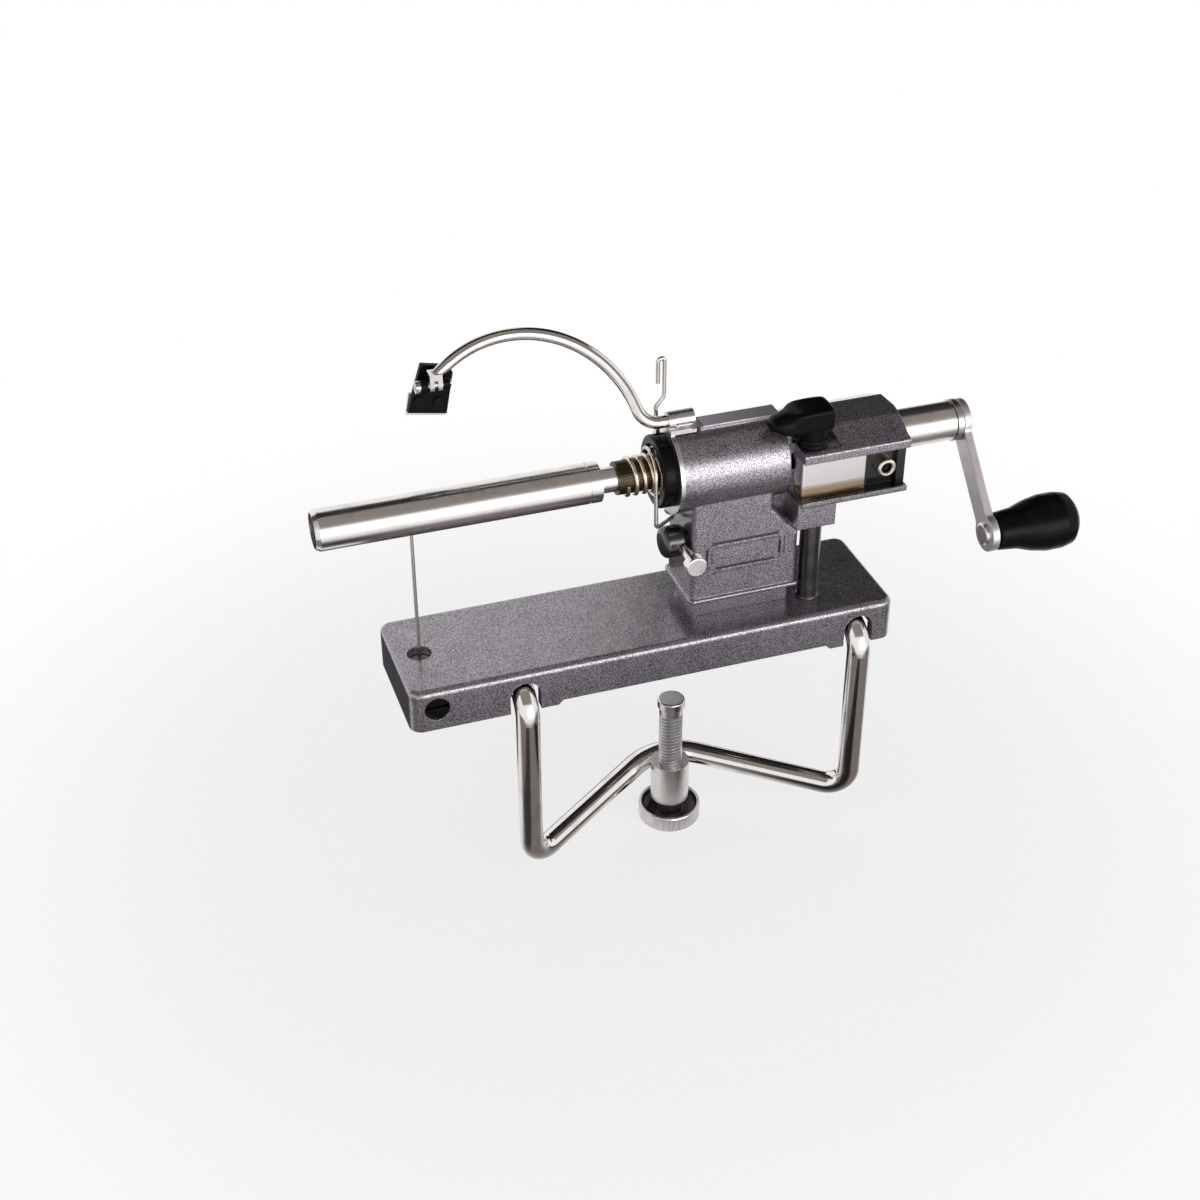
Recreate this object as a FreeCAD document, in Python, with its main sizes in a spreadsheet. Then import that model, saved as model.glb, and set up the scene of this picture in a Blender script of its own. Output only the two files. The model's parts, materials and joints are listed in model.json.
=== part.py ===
# Hand-cranked apple peeler, corer and slicer that clamps to the edge of a table.
# Millimetres. X runs along the spindle towards the crank, -Y is the front, +Z is up.
# The origin is the middle of the base's underside, on the table.
import FreeCAD, Part
import Sketcher
import math
import os
from FreeCAD import Rotation, Vector

# Every size that can be set by itself: name, value, what it is
SIZES = [
    # Base plate
    ("base_length", 182.0, "base, left to right"),
    ("base_width", 47.5, "base, front to back"),
    ("base_height", 16.2, "base top above the table"),
    ("base_wall", 4.0, "wall of the hollow base"),
    ("base_corner", 4.5, "radius of the base's upright corners"),
    ("base_edge", 2.2, "radius along the base's top edge"),
    ("relief_height", 1.7, "gap under the base between its feet"),
    ("relief_left", 38.0, "end of that gap left of the middle"),
    ("relief_right", 66.0, "end of that gap right of the middle"),
    ("arch_width", 11.2, "arches in the front wall for the clamp's legs"),
    ("arch_top", 12.0, "top of those arches above the table"),
    ("boss_wall", 4.0, "metal round the clamp's rod inside the base"),
    ("wire_inset", 9.4, "slicing wire from the base's left end"),
    ("socket_radius", 4.35, "hole in the base top for the wire's holder"),
    ("set_screw_height", 8.6, "set screw's hole above the table"),
    ("set_screw_radius", 4.5, "set screw's hole in the front wall"),
    # Clamp
    ("rod_radius", 4.25, "clamp's bent rod"),
    ("rod_fit", 0.15, "play of that rod in its bosses"),
    ("rod_height", 6.0, "rod ends above the table"),
    ("rod_insert", 34.0, "rod ends inside the base, from its front"),
    ("leg_left", 50.0, "left leg of the clamp left of the middle"),
    ("leg_right", 77.0, "right leg of the clamp right of the middle"),
    ("leg_front", 1.6, "middle of the legs in front of the base"),
    ("leg_drop", 67.0, "bottom corners of the legs below the table top"),
    ("rod_bend", 9.0, "bend radius of the rod at its corners"),
    ("apex_bend", 24.0, "bend radius of the rod behind the sleeve"),
    ("apex_drop", 58.5, "corner of the rod behind the sleeve, below the table top"),
    ("apex_back", 13.4, "corner of the rod behind the sleeve, from the screw's axis"),
    ("sleeve_radius", 7.35, "threaded sleeve, outside"),
    ("sleeve_top", 56.0, "sleeve top below the table top"),
    ("sleeve_length", 17.0, "threaded sleeve"),
    ("screw_radius", 4.5, "clamp screw"),
    ("screw_fit", 0.08, "play of the screw in its sleeve"),
    ("pad_top", 26.5, "pressure pad's face below the table top"),
    ("pad_radius", 5.2, "pressure pad"),
    ("pad_thickness", 3.4, "pressure pad"),
    ("wheel_radius", 12.0, "hand wheel under the screw"),
    ("wheel_thickness", 7.0, "hand wheel under the screw"),
    ("wheel_gap", 3.0, "sleeve to hand wheel"),
    ("wheel_dish", 3.4, "depth of the dish in the wheel's top"),
    ("wheel_rim", 1.3, "rim round that dish"),
    ("wheel_edge", 0.8, "radius of the wheel's outer edges"),
    # Head casting
    ("axis_height", 73.3, "spindle axis above the table"),
    ("ring_start", 9.5, "left face of the arm bracket's ring"),
    ("ring_thickness", 1.5, "arm bracket's ring"),
    ("cylinder_radius", 15.5, "round barrel of the head"),
    ("cylinder_end", 50.0, "right end of the barrel"),
    ("land_width", 7.0, "flat land along the barrel's top"),
    ("land_height", 16.7, "that land above the axis"),
    ("land_gap", 1.7, "land behind the arm bracket's tongue"),
    ("column_left", 15.5, "column's left face"),
    ("column_right", 56.0, "column's right face"),
    ("column_depth", 25.0, "column, front to back"),
    ("column_bottom", 23.4, "lower lip of the column above the table"),
    ("column_corner", 2.0, "radius of the column's upright corners"),
    ("column_shoulder", 46.0, "height where the column's right corner starts to slope"),
    ("shoulder_left", 46.0, "where that slope ends at the top"),
    ("shoulder_top", 57.6, "height where that slope ends"),
    ("lip_height", 1.8, "bead round the column's foot"),
    ("lip_out", 1.0, "how far that bead stands out"),
    ("foot_inset", 2.5, "foot under the bead, set in from the column"),
    ("panel_left", 21.0, "raised frame on the front, left edge"),
    ("panel_right", 50.0, "raised frame on the front, right edge"),
    ("panel_bottom", 35.6, "raised frame on the front, lower edge"),
    ("panel_top", 47.2, "raised frame on the front, upper edge"),
    ("panel_radius", 2.8, "corner radius of the raised frame"),
    ("panel_line", 1.3, "width of the raised line"),
    ("panel_relief", 0.8, "height of the raised line"),
    ("neck_front", 9.0, "neck between barrel and block, in front of the axis"),
    ("neck_back", 11.0, "that neck behind the axis"),
    ("neck_half_height", 10.4, "that neck above and below the axis"),
    ("web_half", 5.0, "web from the column's slope up to neck and bracket, half its thickness"),
    ("block_left", 53.8, "left end of the rear block"),
    ("block_right", 94.0, "right end of the rear block"),
    ("block_front", 18.6, "front lips of the block, from the axis"),
    ("block_back", 17.0, "back of the block, from the axis"),
    ("lip_top", 6.3, "top of the upper lip above the axis"),
    ("lip_bottom", 14.7, "bottom of the lower lip below the axis"),
    ("lip_thickness", 2.4, "lower front lip of the block"),
    ("upper_lip", 3.1, "upper front lip of the block"),
    ("ridge_height", 12.3, "top of the block above the axis"),
    ("facet_back", 7.5, "top of the block's front slope, from the axis"),
    ("facet_height", 11.5, "top of the block's front slope above the axis"),
    ("ridge_front", 3.4, "front of the block's ridge, from the axis"),
    ("ridge_back", 7.0, "back of the block's ridge, from the axis"),
    ("shoulder_height", 6.6, "back shoulder of the block above the axis"),
    ("back_chamfer", 5.0, "slope under the block's back"),
    ("block_edge", 0.9, "radius of the block's long edges"),
    ("ledge_right", 66.5, "right end of the ledge under the lever"),
    ("ledge_height", 7.1, "that ledge above the axis"),
    ("ledge_back", 6.2, "back of that ledge, from the axis"),
    ("barrel_bore", 8.4, "radius of the hollow through the head"),
    ("bracket_left", 53.0, "support bracket under the block, left"),
    ("bracket_right", 67.5, "support bracket under the block, right"),
    ("bracket_bottom", 49.5, "support bracket's underside above the table"),
    ("bracket_front", 17.0, "support bracket's front, from the axis"),
    ("bracket_back", 3.0, "support bracket's back, from the axis"),
    ("post_x", 61.7, "support post, right of the middle"),
    ("post_y", 10.0, "support post, in front of the axis"),
    ("post_radius", 3.85, "support post"),
    ("post_foot_radius", 4.3, "rounded foot of the support post"),
    ("post_foot_height", 1.2, "rounded foot of the support post"),
    ("bolt_radius", 2.5, "bolts that hold the head to the base"),
    ("bolt_head_radius", 4.4, "heads of those bolts"),
    ("bolt_head_height", 4.0, "heads of those bolts"),
    ("bolt_reach", 14.0, "bolts above the base top"),
    ("bolt_spread", 24.0, "distance between the two bolts"),
    ("bolt_play", 0.25, "play round the bolts in the base"),
    # Bushes, cover plate and half nut
    ("bush_radius", 10.5, "bushes, outside"),
    ("bush_length", 12.0, "bushes"),
    ("running_fit", 0.07, "play of the spindle in its bushes"),
    ("plate_right", 78.0, "steel cover plate, right edge"),
    ("plate_thickness", 1.1, "steel cover plate"),
    ("plate_set_back", 2.0, "cover plate behind the lips"),
    ("plate_return", 6.5, "cover plate's bent left flange"),
    ("notch_left", 79.2, "open notch right of the plate, left"),
    ("notch_right", 90.8, "open notch right of the plate, right"),
    ("notch_depth", 5.0, "depth of that notch behind the lips"),
    ("cover_screw_x", 86.5, "slotted screw in the notch"),
    ("cover_screw_drop", 4.9, "slotted screw below the axis"),
    ("cover_screw_radius", 3.5, "slotted screw's head"),
    ("cover_screw_height", 3.4, "slotted screw's head"),
    ("nut_length", 11.0, "half nut along the spindle"),
    ("nut_height", 5.6, "half nut"),
    ("nut_thickness", 5.0, "half nut"),
    ("nut_gap", 0.4, "gaps round the half nut"),
    ("nut_travel", 2.0, "half nut's travel out of the thread"),
    ("tooth_tip", 0.4, "tip radius of the half nut's teeth"),
    ("tooth_root", 1.1, "root radius of the half nut's teeth"),
    ("tooth_depth", 2.0, "teeth of the half nut"),
    ("lever_y", 11.9, "lever's axis in front of the spindle axis"),
    ("lever_x", 59.0, "lever's axis, right of the middle"),
    ("lever_shaft_radius", 2.5, "lever's shaft"),
    ("eccentric_radius", 1.0, "eccentric pin under the lever"),
    ("eccentric_play", 0.12, "play of that pin in the half nut"),
    ("hub_radius", 5.0, "lever's hub"),
    ("hub_height", 7.4, "lever's hub"),
    ("hub_gap", 0.35, "hub above the ledge"),
    ("lever_reach", 13.6, "lever's wing from its axis to the tip's centre"),
    ("lever_tip_radius", 3.0, "rounded tip of the wing"),
    ("lever_head_radius", 6.4, "round part of the lever's head"),
    ("lever_head_height", 8.2, "lever's head"),
    ("lever_tip_height", 5.4, "wing's height at its tip"),
    # Spindle
    ("spindle_radius", 7.15, "coring tube and rear tube"),
    ("tube_wall", 1.0, "coring tube's wall"),
    ("tube_left", 114.6, "cutting edge left of the middle"),
    ("tube_right", 15.5, "coring tube's right end left of the middle"),
    ("tube_plug", 9.0, "solid right end of the coring tube"),
    ("tube_bevel", 1.6, "length of the cutting edge's bevel"),
    ("tube_groove_x", 20.0, "groove round the tube left of the middle"),
    ("tube_groove", 0.5, "width and depth of that groove"),
    ("window_length", 46.0, "core window in the tube"),
    ("window_width", 8.6, "core window in the tube"),
    ("window_start", 14.0, "core window from the cutting edge"),
    ("neck_radius", 4.5, "neck between tube and thread"),
    ("neck_length", 6.2, "neck between tube and thread"),
    ("core_radius", 5.9, "core under the thread"),
    ("thread_start", 6.3, "thread's left end left of the middle"),
    ("thread_pitch", 3.1, "feed per turn"),
    ("thread_turns", 31.75, "turns of the thread"),
    ("ridge_radius", 0.8, "radius of the thread's round ridge"),
    ("crest_clearance", 0.05, "crest of the thread inside the tube's size"),
    ("rear_tube_end", 118.6, "right end of the rear tube"),
    ("journal_radius", 4.6, "journal under the thrust ring"),
    ("ring_fit", 0.06, "play of the thrust ring on its journal"),
    ("thrust_ring_radius", 7.6, "thrust ring, outside"),
    ("thrust_gap", 0.3, "gap each side of the thrust ring"),
    # Crank
    ("crank_face", 121.5, "left face of the crank arm"),
    ("crank_thickness", 3.0, "crank arm"),
    ("crank_throw", 43.0, "spindle axis to knob axis"),
    ("crank_angle", 42.4, "crank forward of straight down, degrees"),
    ("crank_eye_radius", 7.3, "crank's end over the spindle"),
    ("crank_tip_radius", 6.8, "crank's end at the knob"),
    ("crank_width", 9.0, "crank bar"),
    ("crank_edge", 0.5, "radius of the crank arm's edges"),
    ("crank_stud_radius", 3.0, "stud riveted over in the crank's eye"),
    ("pin_radius", 2.6, "knob's axle"),
    ("pin_head_radius", 4.2, "riveted head of the knob's axle"),
    ("pin_head_height", 1.3, "riveted head of the knob's axle"),
    ("knob_fit", 0.08, "play of the knob on its axle"),
    ("knob_gap", 0.4, "gap between crank arm and knob"),
    ("knob_length", 31.6, "knob"),
    ("knob_radius", 10.2, "knob at its thickest"),
    ("knob_neck", 6.6, "knob's radius at the crank"),
    ("knob_belly", 20.5, "thickest place from the crank"),
    ("knob_bore", 24.0, "depth of the axle inside the knob"),
    # Spring cap and spring
    ("cap_start", 4.6, "left face of the black spring cap"),
    ("cap_radius", 13.0, "spring cap"),
    ("cap_wall", 1.2, "wall of the spring cap"),
    ("cap_hole", 9.9, "radius of the cap's opening"),
    ("spring_wire", 0.75, "radius of the spring's wire"),
    ("spring_radius", 8.6, "mean radius of the spring's coils"),
    ("spring_start", 2.9, "first coil, right of the middle"),
    ("spring_pitch", 2.4, "spring's rise per turn"),
    ("loop_width", 2.3, "finger loop, wire to wire"),
    ("loop_top", 40.3, "finger loop's round top above the axis"),
    ("loop_bottom", 32.3, "open end of the finger loop above the axis"),
    ("finger_x", 1.3, "spring's strand behind the arm, left of the coils' end"),
    ("finger_gap", 0.35, "gap between that strand and the arm"),
    ("finger_low", 1.2, "that strand's lower bend under the arm's middle"),
    ("finger_high", 4.4, "that strand's upper bend above the arm's middle"),
    ("finger_lean", 0.4, "that strand's lean to the left between its bends"),
    ("finger_shift", 2.6, "finger loop's right wire, right of that strand"),
    ("finger_rise", 7.9, "loop's right wire starts above the arm's middle"),
    ("coil_exit_bend", 2.4, "bend radius where the wire leaves the coils"),
    ("finger_bend", 5.0, "bend radius under the arm"),
    ("loop_bend", 2.4, "bend radii between strand and loop"),
    ("hook_gap", 0.3, "gap between the spring's hook and its pin's head"),
    ("hook_end_x", 1.9, "hook's end, right of the pin head's middle"),
    ("hook_end_y", 3.6, "hook's end, behind the pin"),
    ("hook_end_rise", 1.6, "hook's end above its lowest run"),
    ("hook_corner_x", 0.8, "hook's front corner, right of the pin head's middle"),
    ("hook_corner_y", 0.6, "hook's front corner, in front of the pin"),
    ("hook_bend", 1.8, "bend radius of the hook's front corner"),
    ("leg_foot_out", 0.4, "foot of the spring's lower leg, in front of the coils"),
    ("leg_foot_rise", 0.9, "that foot above the pin"),
    ("leg_foot_bend", 2.6, "bend radius of that foot"),
    ("leg_top_bend", 20.0, "bend radius where that leg joins the coils"),
    ("anchor_y", 3.0, "spring's anchor pin behind the axis"),
    ("anchor_drop", 18.1, "anchor pin below the axis"),
    ("anchor_head_x", 12.6, "middle of the anchor pin's round head"),
    ("anchor_depth", 4.0, "anchor pin inside the column"),
    ("anchor_radius", 1.3, "anchor pin"),
    ("anchor_head_radius", 2.2, "round head of the anchor pin"),
    # Arm bracket and arm
    ("arm_height", 19.1, "arm's pivot above the spindle axis"),
    ("arm_radius", 2.2, "arm's rod"),
    ("arm_fit", 0.06, "play of the arm's foot in the bracket"),
    ("knuckle_wall", 0.95, "bracket's knuckle round the arm's foot"),
    ("knuckle_left", 9.5, "bracket's knuckle, left end"),
    ("knuckle_right", 18.9, "bracket's knuckle, right end"),
    ("tongue_width", 9.0, "bracket's tongue on the barrel"),
    ("knuckle_drop", 1.3, "thickness of the tongue on the barrel"),
    ("slit_height", 2.3, "slit along the knuckle's front"),
    ("arm_lean", 32.5, "arm's lean to the back, degrees"),
    ("arch_radius", 41.0, "arm's arch, to the rod's middle"),
    ("arch_centre", 40.0, "arch's centre left of the middle"),
    ("arch_sink", 4.1, "arch's centre below the pivot line"),
    ("arm_fillet", 7.0, "bend between the foot and the arch"),
    ("arch_end", 122.1, "where the arch ends, degrees from +X"),
    # Blade holder
    ("fork_x", 67.0, "middle of the arm's fork left of the middle"),
    ("prong_width", 1.5, "each prong of the fork"),
    ("prong_gap", 1.3, "between the prongs"),
    ("prong_radius", 2.3, "rounded end of the prongs"),
    ("fork_neck_radius", 1.75, "arm's rod where it enters the fork"),
    ("fork_neck_drop", 1.2, "middle of that neck under the fork's top"),
    ("pivot_y", 14.9, "blade holder's pivot behind the axis"),
    ("pivot_height", 38.6, "blade holder's pivot above the axis"),
    ("holder_pin_radius", 1.25, "blade holder's pivot pin"),
    ("holder_pin_fit", 0.05, "play of that pin in the holder's ears"),
    ("holder_offset", 4.3, "holder's front face behind its pivot"),
    ("holder_thickness", 2.0, "holder plate"),
    ("ear_gap", 0.5, "between the prongs and the holder's ears"),
    ("ear_width", 2.2, "ears of the holder"),
    ("ear_radius", 2.1, "rounded ears of the holder"),
    ("blade_thickness", 0.8, "blade"),
    ("blade_height", 8.0, "blade"),
    ("blade_overhang", 1.6, "cutting edge below the holder"),
    # Slicing wire
    ("wire_radius", 0.6, "slicing wire"),
    ("wire_gap", 0.6, "top of the wire under the coring tube"),
    ("wire_holder_radius", 4.2, "wire's holder in the base"),
    ("wire_holder_top", 3.4, "wire's holder below the base top"),
    # Side screw
    ("side_screw_y", 4.0, "side screw in front of the axis"),
    ("side_screw_drop", 27.1, "side screw below the spindle axis"),
    ("side_screw_radius", 5.8, "side screw's head"),
    ("side_screw_length", 8.6, "side screw's head"),
    ("side_screw_gap", 0.4, "head to column"),
    ("side_shank_radius", 3.0, "side screw's shank in the column"),
    ("tommy_x", 12.9, "cross pin, right of the middle"),
    ("tommy_radius", 1.9, "cross pin"),
    ("tommy_reach", 15.5, "cross pin's head in front of the screw"),
    ("tommy_head_radius", 3.9, "cross pin's head"),
    ("tommy_head_length", 4.0, "cross pin's head"),
    ("tommy_tail", 7.4, "cross pin behind the screw's middle"),
]

SEAT = 0.05
"""Gap left between two pieces of the same body where their round faces would only touch."""

COIL_TURNS = 2
"""Turns of the arm's spring round the spindle."""

COIL_EXIT = 0.25
"""Share of a turn more, up to the top, where the wire leaves the coils."""

STEPS_PER_TURN = 8
"""Points on one turn of a coil, two to each arc."""

KNOB_WAIST = (0.5, 0.63)
"""Point of the knob's outline between neck and belly: shares of the way along and out."""

KNOB_BROW = (0.68, 0.87)
"""Point of its outline between belly and end: share of the way along, and share of the belly's radius."""

KNOB_END = 0.5
"""Flat end of the knob, as a share of the belly's radius."""

document = FreeCAD.newDocument("apple_peeler")
sheet = document.addObject("Spreadsheet::Sheet", "Sizes")
finished = []


class Size:
    """A length or an angle, kept with the formula that gives it from the sheet."""

    def __init__(self, value, formula):
        self.value = value
        self.formula = formula

    def __add__(self, other):
        return joined(self, "+", other)

    def __radd__(self, other):
        return joined(other, "+", self)

    def __sub__(self, other):
        return joined(self, "-", other)

    def __rsub__(self, other):
        return joined(other, "-", self)

    def __mul__(self, other):
        return joined(self, "*", other)

    def __rmul__(self, other):
        return joined(other, "*", self)

    def __truediv__(self, other):
        return joined(self, "/", other)

    def __neg__(self):
        return joined(0, "-", self)

    def __float__(self):
        return float(self.value)


def sized(thing):
    """A plain number as a Size; a Size as it is."""
    return thing if isinstance(thing, Size) else Size(float(thing), "%.6g" % thing)


def joined(left, sign, right):
    left = sized(left)
    right = sized(right)
    values = {
        "+": lambda a, b: a + b,
        "-": lambda a, b: a - b,
        "*": lambda a, b: a * b,
        "/": lambda a, b: a / b,
    }
    return Size(values[sign](left.value, right.value), "(%s %s %s)" % (left.formula, sign, right.formula))


class Sheet:
    """The sheet's sizes by name."""


S = Sheet()
for row, (alias, value, meaning) in enumerate(SIZES, start=1):
    sheet.set("A%d" % row, meaning)
    sheet.set("B%d" % row, "%g" % value)
    sheet.setAlias("B%d" % row, alias)
document.recompute()
for alias, value, meaning in SIZES:
    setattr(S, alias, Size(float(sheet.get(alias)), "Sizes." + alias))

ORIGIN_PLANES = {"XY": "XY_Plane", "XZ": "XZ_Plane", "YZ": "YZ_Plane"}
TURN_TO_X = Rotation(Vector(0, 1, 0), 90)
TURN_TO_Y = Rotation(Vector(1, 0, 0), -90)
UPRIGHT = Rotation()


def bind(thing, prop, size):
    thing.setExpression(prop, sized(size).formula)


def place(thing, x=0, y=0, z=0, rotation=UPRIGHT):
    """Turns a thing and puts its own origin at a place given in sizes."""
    thing.Placement = FreeCAD.Placement(Vector(), rotation)
    for letter, size in zip("xyz", (x, y, z)):
        bind(thing, "Placement.Base." + letter, size)
    return thing


def finish(thing, node):
    """Names a finished sub-part after its node."""
    thing.Label = node
    finished.append(thing)
    return thing


def box(name, x, y, z):
    """A block between two values on each axis."""
    solid = document.addObject("Part::Box", name)
    for side, (low, high) in zip(("Length", "Width", "Height"), (x, y, z)):
        bind(solid, side, sized(high) - low)
    return place(solid, x[0], y[0], z[0])


def rod_along(direction, name, radius, start, end, across=0, height=0):
    """A round bar along X, Y or Z, at the other two coordinates."""
    solid = document.addObject("Part::Cylinder", name)
    bind(solid, "Radius", radius)
    bind(solid, "Height", sized(end) - start)
    if direction == "X":
        return place(solid, start, across, height, TURN_TO_X)
    if direction == "Y":
        return place(solid, across, start, height, TURN_TO_Y)
    return place(solid, across, height, start)


def cone_along(direction, name, first, last, start, end, across=0, height=0):
    """A cone along X, Y or Z whose radius runs from first to last."""
    solid = document.addObject("Part::Cone", name)
    bind(solid, "Radius1", first)
    bind(solid, "Radius2", last)
    bind(solid, "Height", sized(end) - start)
    if direction == "X":
        return place(solid, start, across, height, TURN_TO_X)
    if direction == "Y":
        return place(solid, across, start, height, TURN_TO_Y)
    return place(solid, across, height, start)


def fuse(name, *solids):
    union = document.addObject("Part::MultiFuse", name)
    union.Shapes = list(solids)
    union.Refine = True
    return union


def cut(name, base, *tools):
    difference = document.addObject("Part::Cut", name)
    difference.Base = base
    difference.Tool = tools[0] if len(tools) == 1 else fuse(name + "_tools", *tools)
    difference.Refine = True
    return difference


def rounded(name, base, radius, wanted):
    """Rounds those edges of a solid that wanted(edge) picks."""
    document.recompute()
    fillet = document.addObject("Part::Fillet", name)
    fillet.Base = base
    edges = [
        (number, float(radius), float(radius))
        for number, edge in enumerate(base.Shape.Edges, start=1)
        if wanted(edge)
    ]
    fillet.Edges = edges
    return fillet


def new_body(name):
    return document.addObject("PartDesign::Body", name)


def new_sketch(body, name, plane, offset=0):
    """A sketch on one of its body's origin planes, moved along the plane's normal."""
    sketch = body.newObject("Sketcher::SketchObject", name)
    role = ORIGIN_PLANES[plane]
    support = [feature for feature in body.Origin.OriginFeatures if feature.Role == role][0]
    sketch.AttachmentSupport = [(support, "")]
    sketch.MapMode = "FlatFace"
    bind(sketch, "AttachmentOffset.Base.z", offset)
    return sketch


def pin_down(sketch, line, end, x, y):
    """Fixes a sketch point at a place given in sizes, from the sketch's origin."""
    for kind, size, axis_line in (("DistanceX", x, -2), ("DistanceY", y, -1)):
        size = sized(size)
        if abs(size.value) < 1e-9:
            sketch.addConstraint(Sketcher.Constraint("PointOnObject", line, end, axis_line))
        elif size.value > 0:
            number = sketch.addConstraint(Sketcher.Constraint(kind, -1, 1, line, end, size.value))
            sketch.setExpression("Constraints[%d]" % number, size.formula)
        else:
            number = sketch.addConstraint(Sketcher.Constraint(kind, line, end, -1, 1, -size.value))
            sketch.setExpression("Constraints[%d]" % number, (-size).formula)


def draw_outline(sketch, points):
    """A closed outline of straight lines through points given in sizes."""
    places = [Vector(sized(x).value, sized(y).value, 0) for x, y in points]
    count = len(points)
    lines = [
        sketch.addGeometry(Part.LineSegment(places[i], places[(i + 1) % count]), False)
        for i in range(count)
    ]
    for i in range(count):
        sketch.addConstraint(Sketcher.Constraint("Coincident", lines[i], 2, lines[(i + 1) % count], 1))
    for line, (x, y) in zip(lines, points):
        pin_down(sketch, line, 1, x, y)
    return sketch


def draw_rectangle(sketch, left, right, low, high):
    return draw_outline(sketch, [(left, low), (right, low), (right, high), (left, high)])


def draw_circle(sketch, x, y, radius):
    circle = sketch.addGeometry(
        Part.Circle(Vector(sized(x).value, sized(y).value, 0), Vector(0, 0, 1), float(radius)), False)
    pin_down(sketch, circle, 3, x, y)
    number = sketch.addConstraint(Sketcher.Constraint("Radius", circle, float(radius)))
    sketch.setExpression("Constraints[%d]" % number, sized(radius).formula)
    return sketch


def extruded(body, kind, name, sketch, length, both_ways=False, backwards=False):
    """A pad or pocket of a sketch; both_ways spreads it to each side of the sketch."""
    feature = body.newObject("PartDesign::" + kind, name)
    feature.Profile = sketch
    bind(feature, "Length", length)
    if both_ways:
        feature.SideType = "Symmetric"
    feature.Reversed = backwards
    return feature


def turned(body, kind, name, sketch, axis):
    """A revolution or groove of a sketch round one of the sketch's axes."""
    feature = body.newObject("PartDesign::" + kind, name)
    feature.Profile = sketch
    feature.ReferenceAxis = (sketch, [axis])
    feature.Angle = 360
    return feature


def body_fillet(body, name, base, radius, wanted):
    """Rounds the edges of a body's feature that wanted(edge) picks."""
    document.recompute()
    names = [
        "Edge%d" % number
        for number, edge in enumerate(base.Shape.Edges, start=1)
        if wanted(edge)
    ]
    feature = body.newObject("PartDesign::Fillet", name)
    feature.Base = (base, names)
    bind(feature, "Radius", radius)
    return feature


def edge_runs_along(edge, axis):
    """True for a straight edge along one coordinate axis."""
    if not isinstance(edge.Curve, Part.Line):
        return False
    return abs(abs(edge.Curve.Direction[axis]) - 1) < 1e-6


def edge_lies_at(edge, axis, value):
    """True for an edge whose whole length lies at one coordinate."""
    limits = edge.BoundBox
    low = (limits.XMin, limits.YMin, limits.ZMin)[axis]
    high = (limits.XMax, limits.YMax, limits.ZMax)[axis]
    return abs(low - float(value)) < 1e-4 and abs(high - float(value)) < 1e-4


def edge_reaches_outside(edge, left, right, front):
    """True for an edge with some of its length outside a rectangle that is even front to back."""
    limits = edge.BoundBox
    return (
        limits.XMin < float(left) - 0.1 or limits.XMax > float(right) + 0.1
        or limits.YMin < float(front) - 0.1 or limits.YMax > 0.1 - float(front))


def from_wire(name, shape):
    """A sub-part whose shape is worked out here from the sheet's sizes."""
    feature = document.addObject("Part::Feature", name)
    feature.Shape = shape
    feature.Placement = FreeCAD.Placement()
    return feature


def bent_path(points, radii):
    """Straight runs through points, joined by tangent arcs of the given radii."""
    edges = []
    start = points[0]
    for i in range(1, len(points) - 1):
        back = (points[i - 1] - points[i]).normalize()
        ahead = (points[i + 1] - points[i]).normalize()
        half_turn = (math.pi - back.getAngle(ahead)) / 2
        reach = radii[i - 1] * math.tan(half_turn)
        first = points[i] + back * reach
        last = points[i] + ahead * reach
        inward = (back + ahead).normalize()
        middle = points[i] + inward * (radii[i - 1] / math.cos(half_turn) - radii[i - 1])
        if (first - start).Length > 1e-6:
            edges.append(Part.LineSegment(start, first).toShape())
        edges.append(Part.Arc(first, middle, last).toShape())
        start = last
    edges.append(Part.LineSegment(start, points[-1]).toShape())
    return Part.Wire(edges)


def tube_along(path, radius):
    """A round solid along a path that starts with a straight or round edge."""
    first = path.OrderedEdges[0]
    start = first.valueAt(first.FirstParameter)
    heading = first.tangentAt(first.FirstParameter)
    if (start - path.OrderedVertexes[0].Point).Length > 1e-6:
        start = first.valueAt(first.LastParameter)
        heading = first.tangentAt(first.LastParameter).negative()
    section = Part.Wire(Part.makeCircle(radius, start, heading))
    solid = path.makePipeShell([section], True, False)
    if solid.Volume < 0:
        solid.reverse()
    return solid


def helix_points(radius, pitch, first_turn, last_turn, centre_z, x_at_zero):
    """Points of a helix round the spindle axis; turn 0 points to the front and rises to the right."""
    count = int(round((last_turn - first_turn) * STEPS_PER_TURN))
    points = []
    for i in range(count + 1):
        turn = first_turn + (last_turn - first_turn) * i / count
        angle = 2 * math.pi * turn
        points.append(Vector(
            x_at_zero + pitch * turn,
            -radius * math.cos(angle),
            centre_z - radius * math.sin(angle)))
    return points


def arcs_through(points):
    """Arcs through every second point of a coil, each a quarter turn."""
    return [
        Part.Arc(points[i], points[i + 1], points[i + 2]).toShape()
        for i in range(0, len(points) - 2, 2)
    ]


left_face = -S.base_length / 2
front_face = -S.base_width / 2
axis = S.axis_height
wire_x = left_face + S.wire_inset
leg_centres = (-S.leg_left, S.leg_right)
leg_y = front_face - S.leg_front
cavity_top = S.base_height - S.base_wall
column_front = -S.column_depth / 2
bolt_places = tuple(
    (S.column_left + S.column_right) / 2 + sign * S.bolt_spread / 2 for sign in (-1, 1))
bush_bore = S.spindle_radius + S.running_fit
barrel_left = S.ring_start + S.ring_thickness
plate_back = -S.block_front + S.plate_set_back + S.plate_thickness
recess_low = axis - S.lip_bottom + S.lip_thickness
recess_high = axis + S.lip_top - S.upper_lip
nut_left = S.block_left + S.plate_thickness + S.nut_gap
helix_radius = S.spindle_radius - S.crest_clearance - S.ridge_radius
nut_inner = -(helix_radius + S.tooth_depth)
nut_outer = nut_inner - S.nut_thickness
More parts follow.
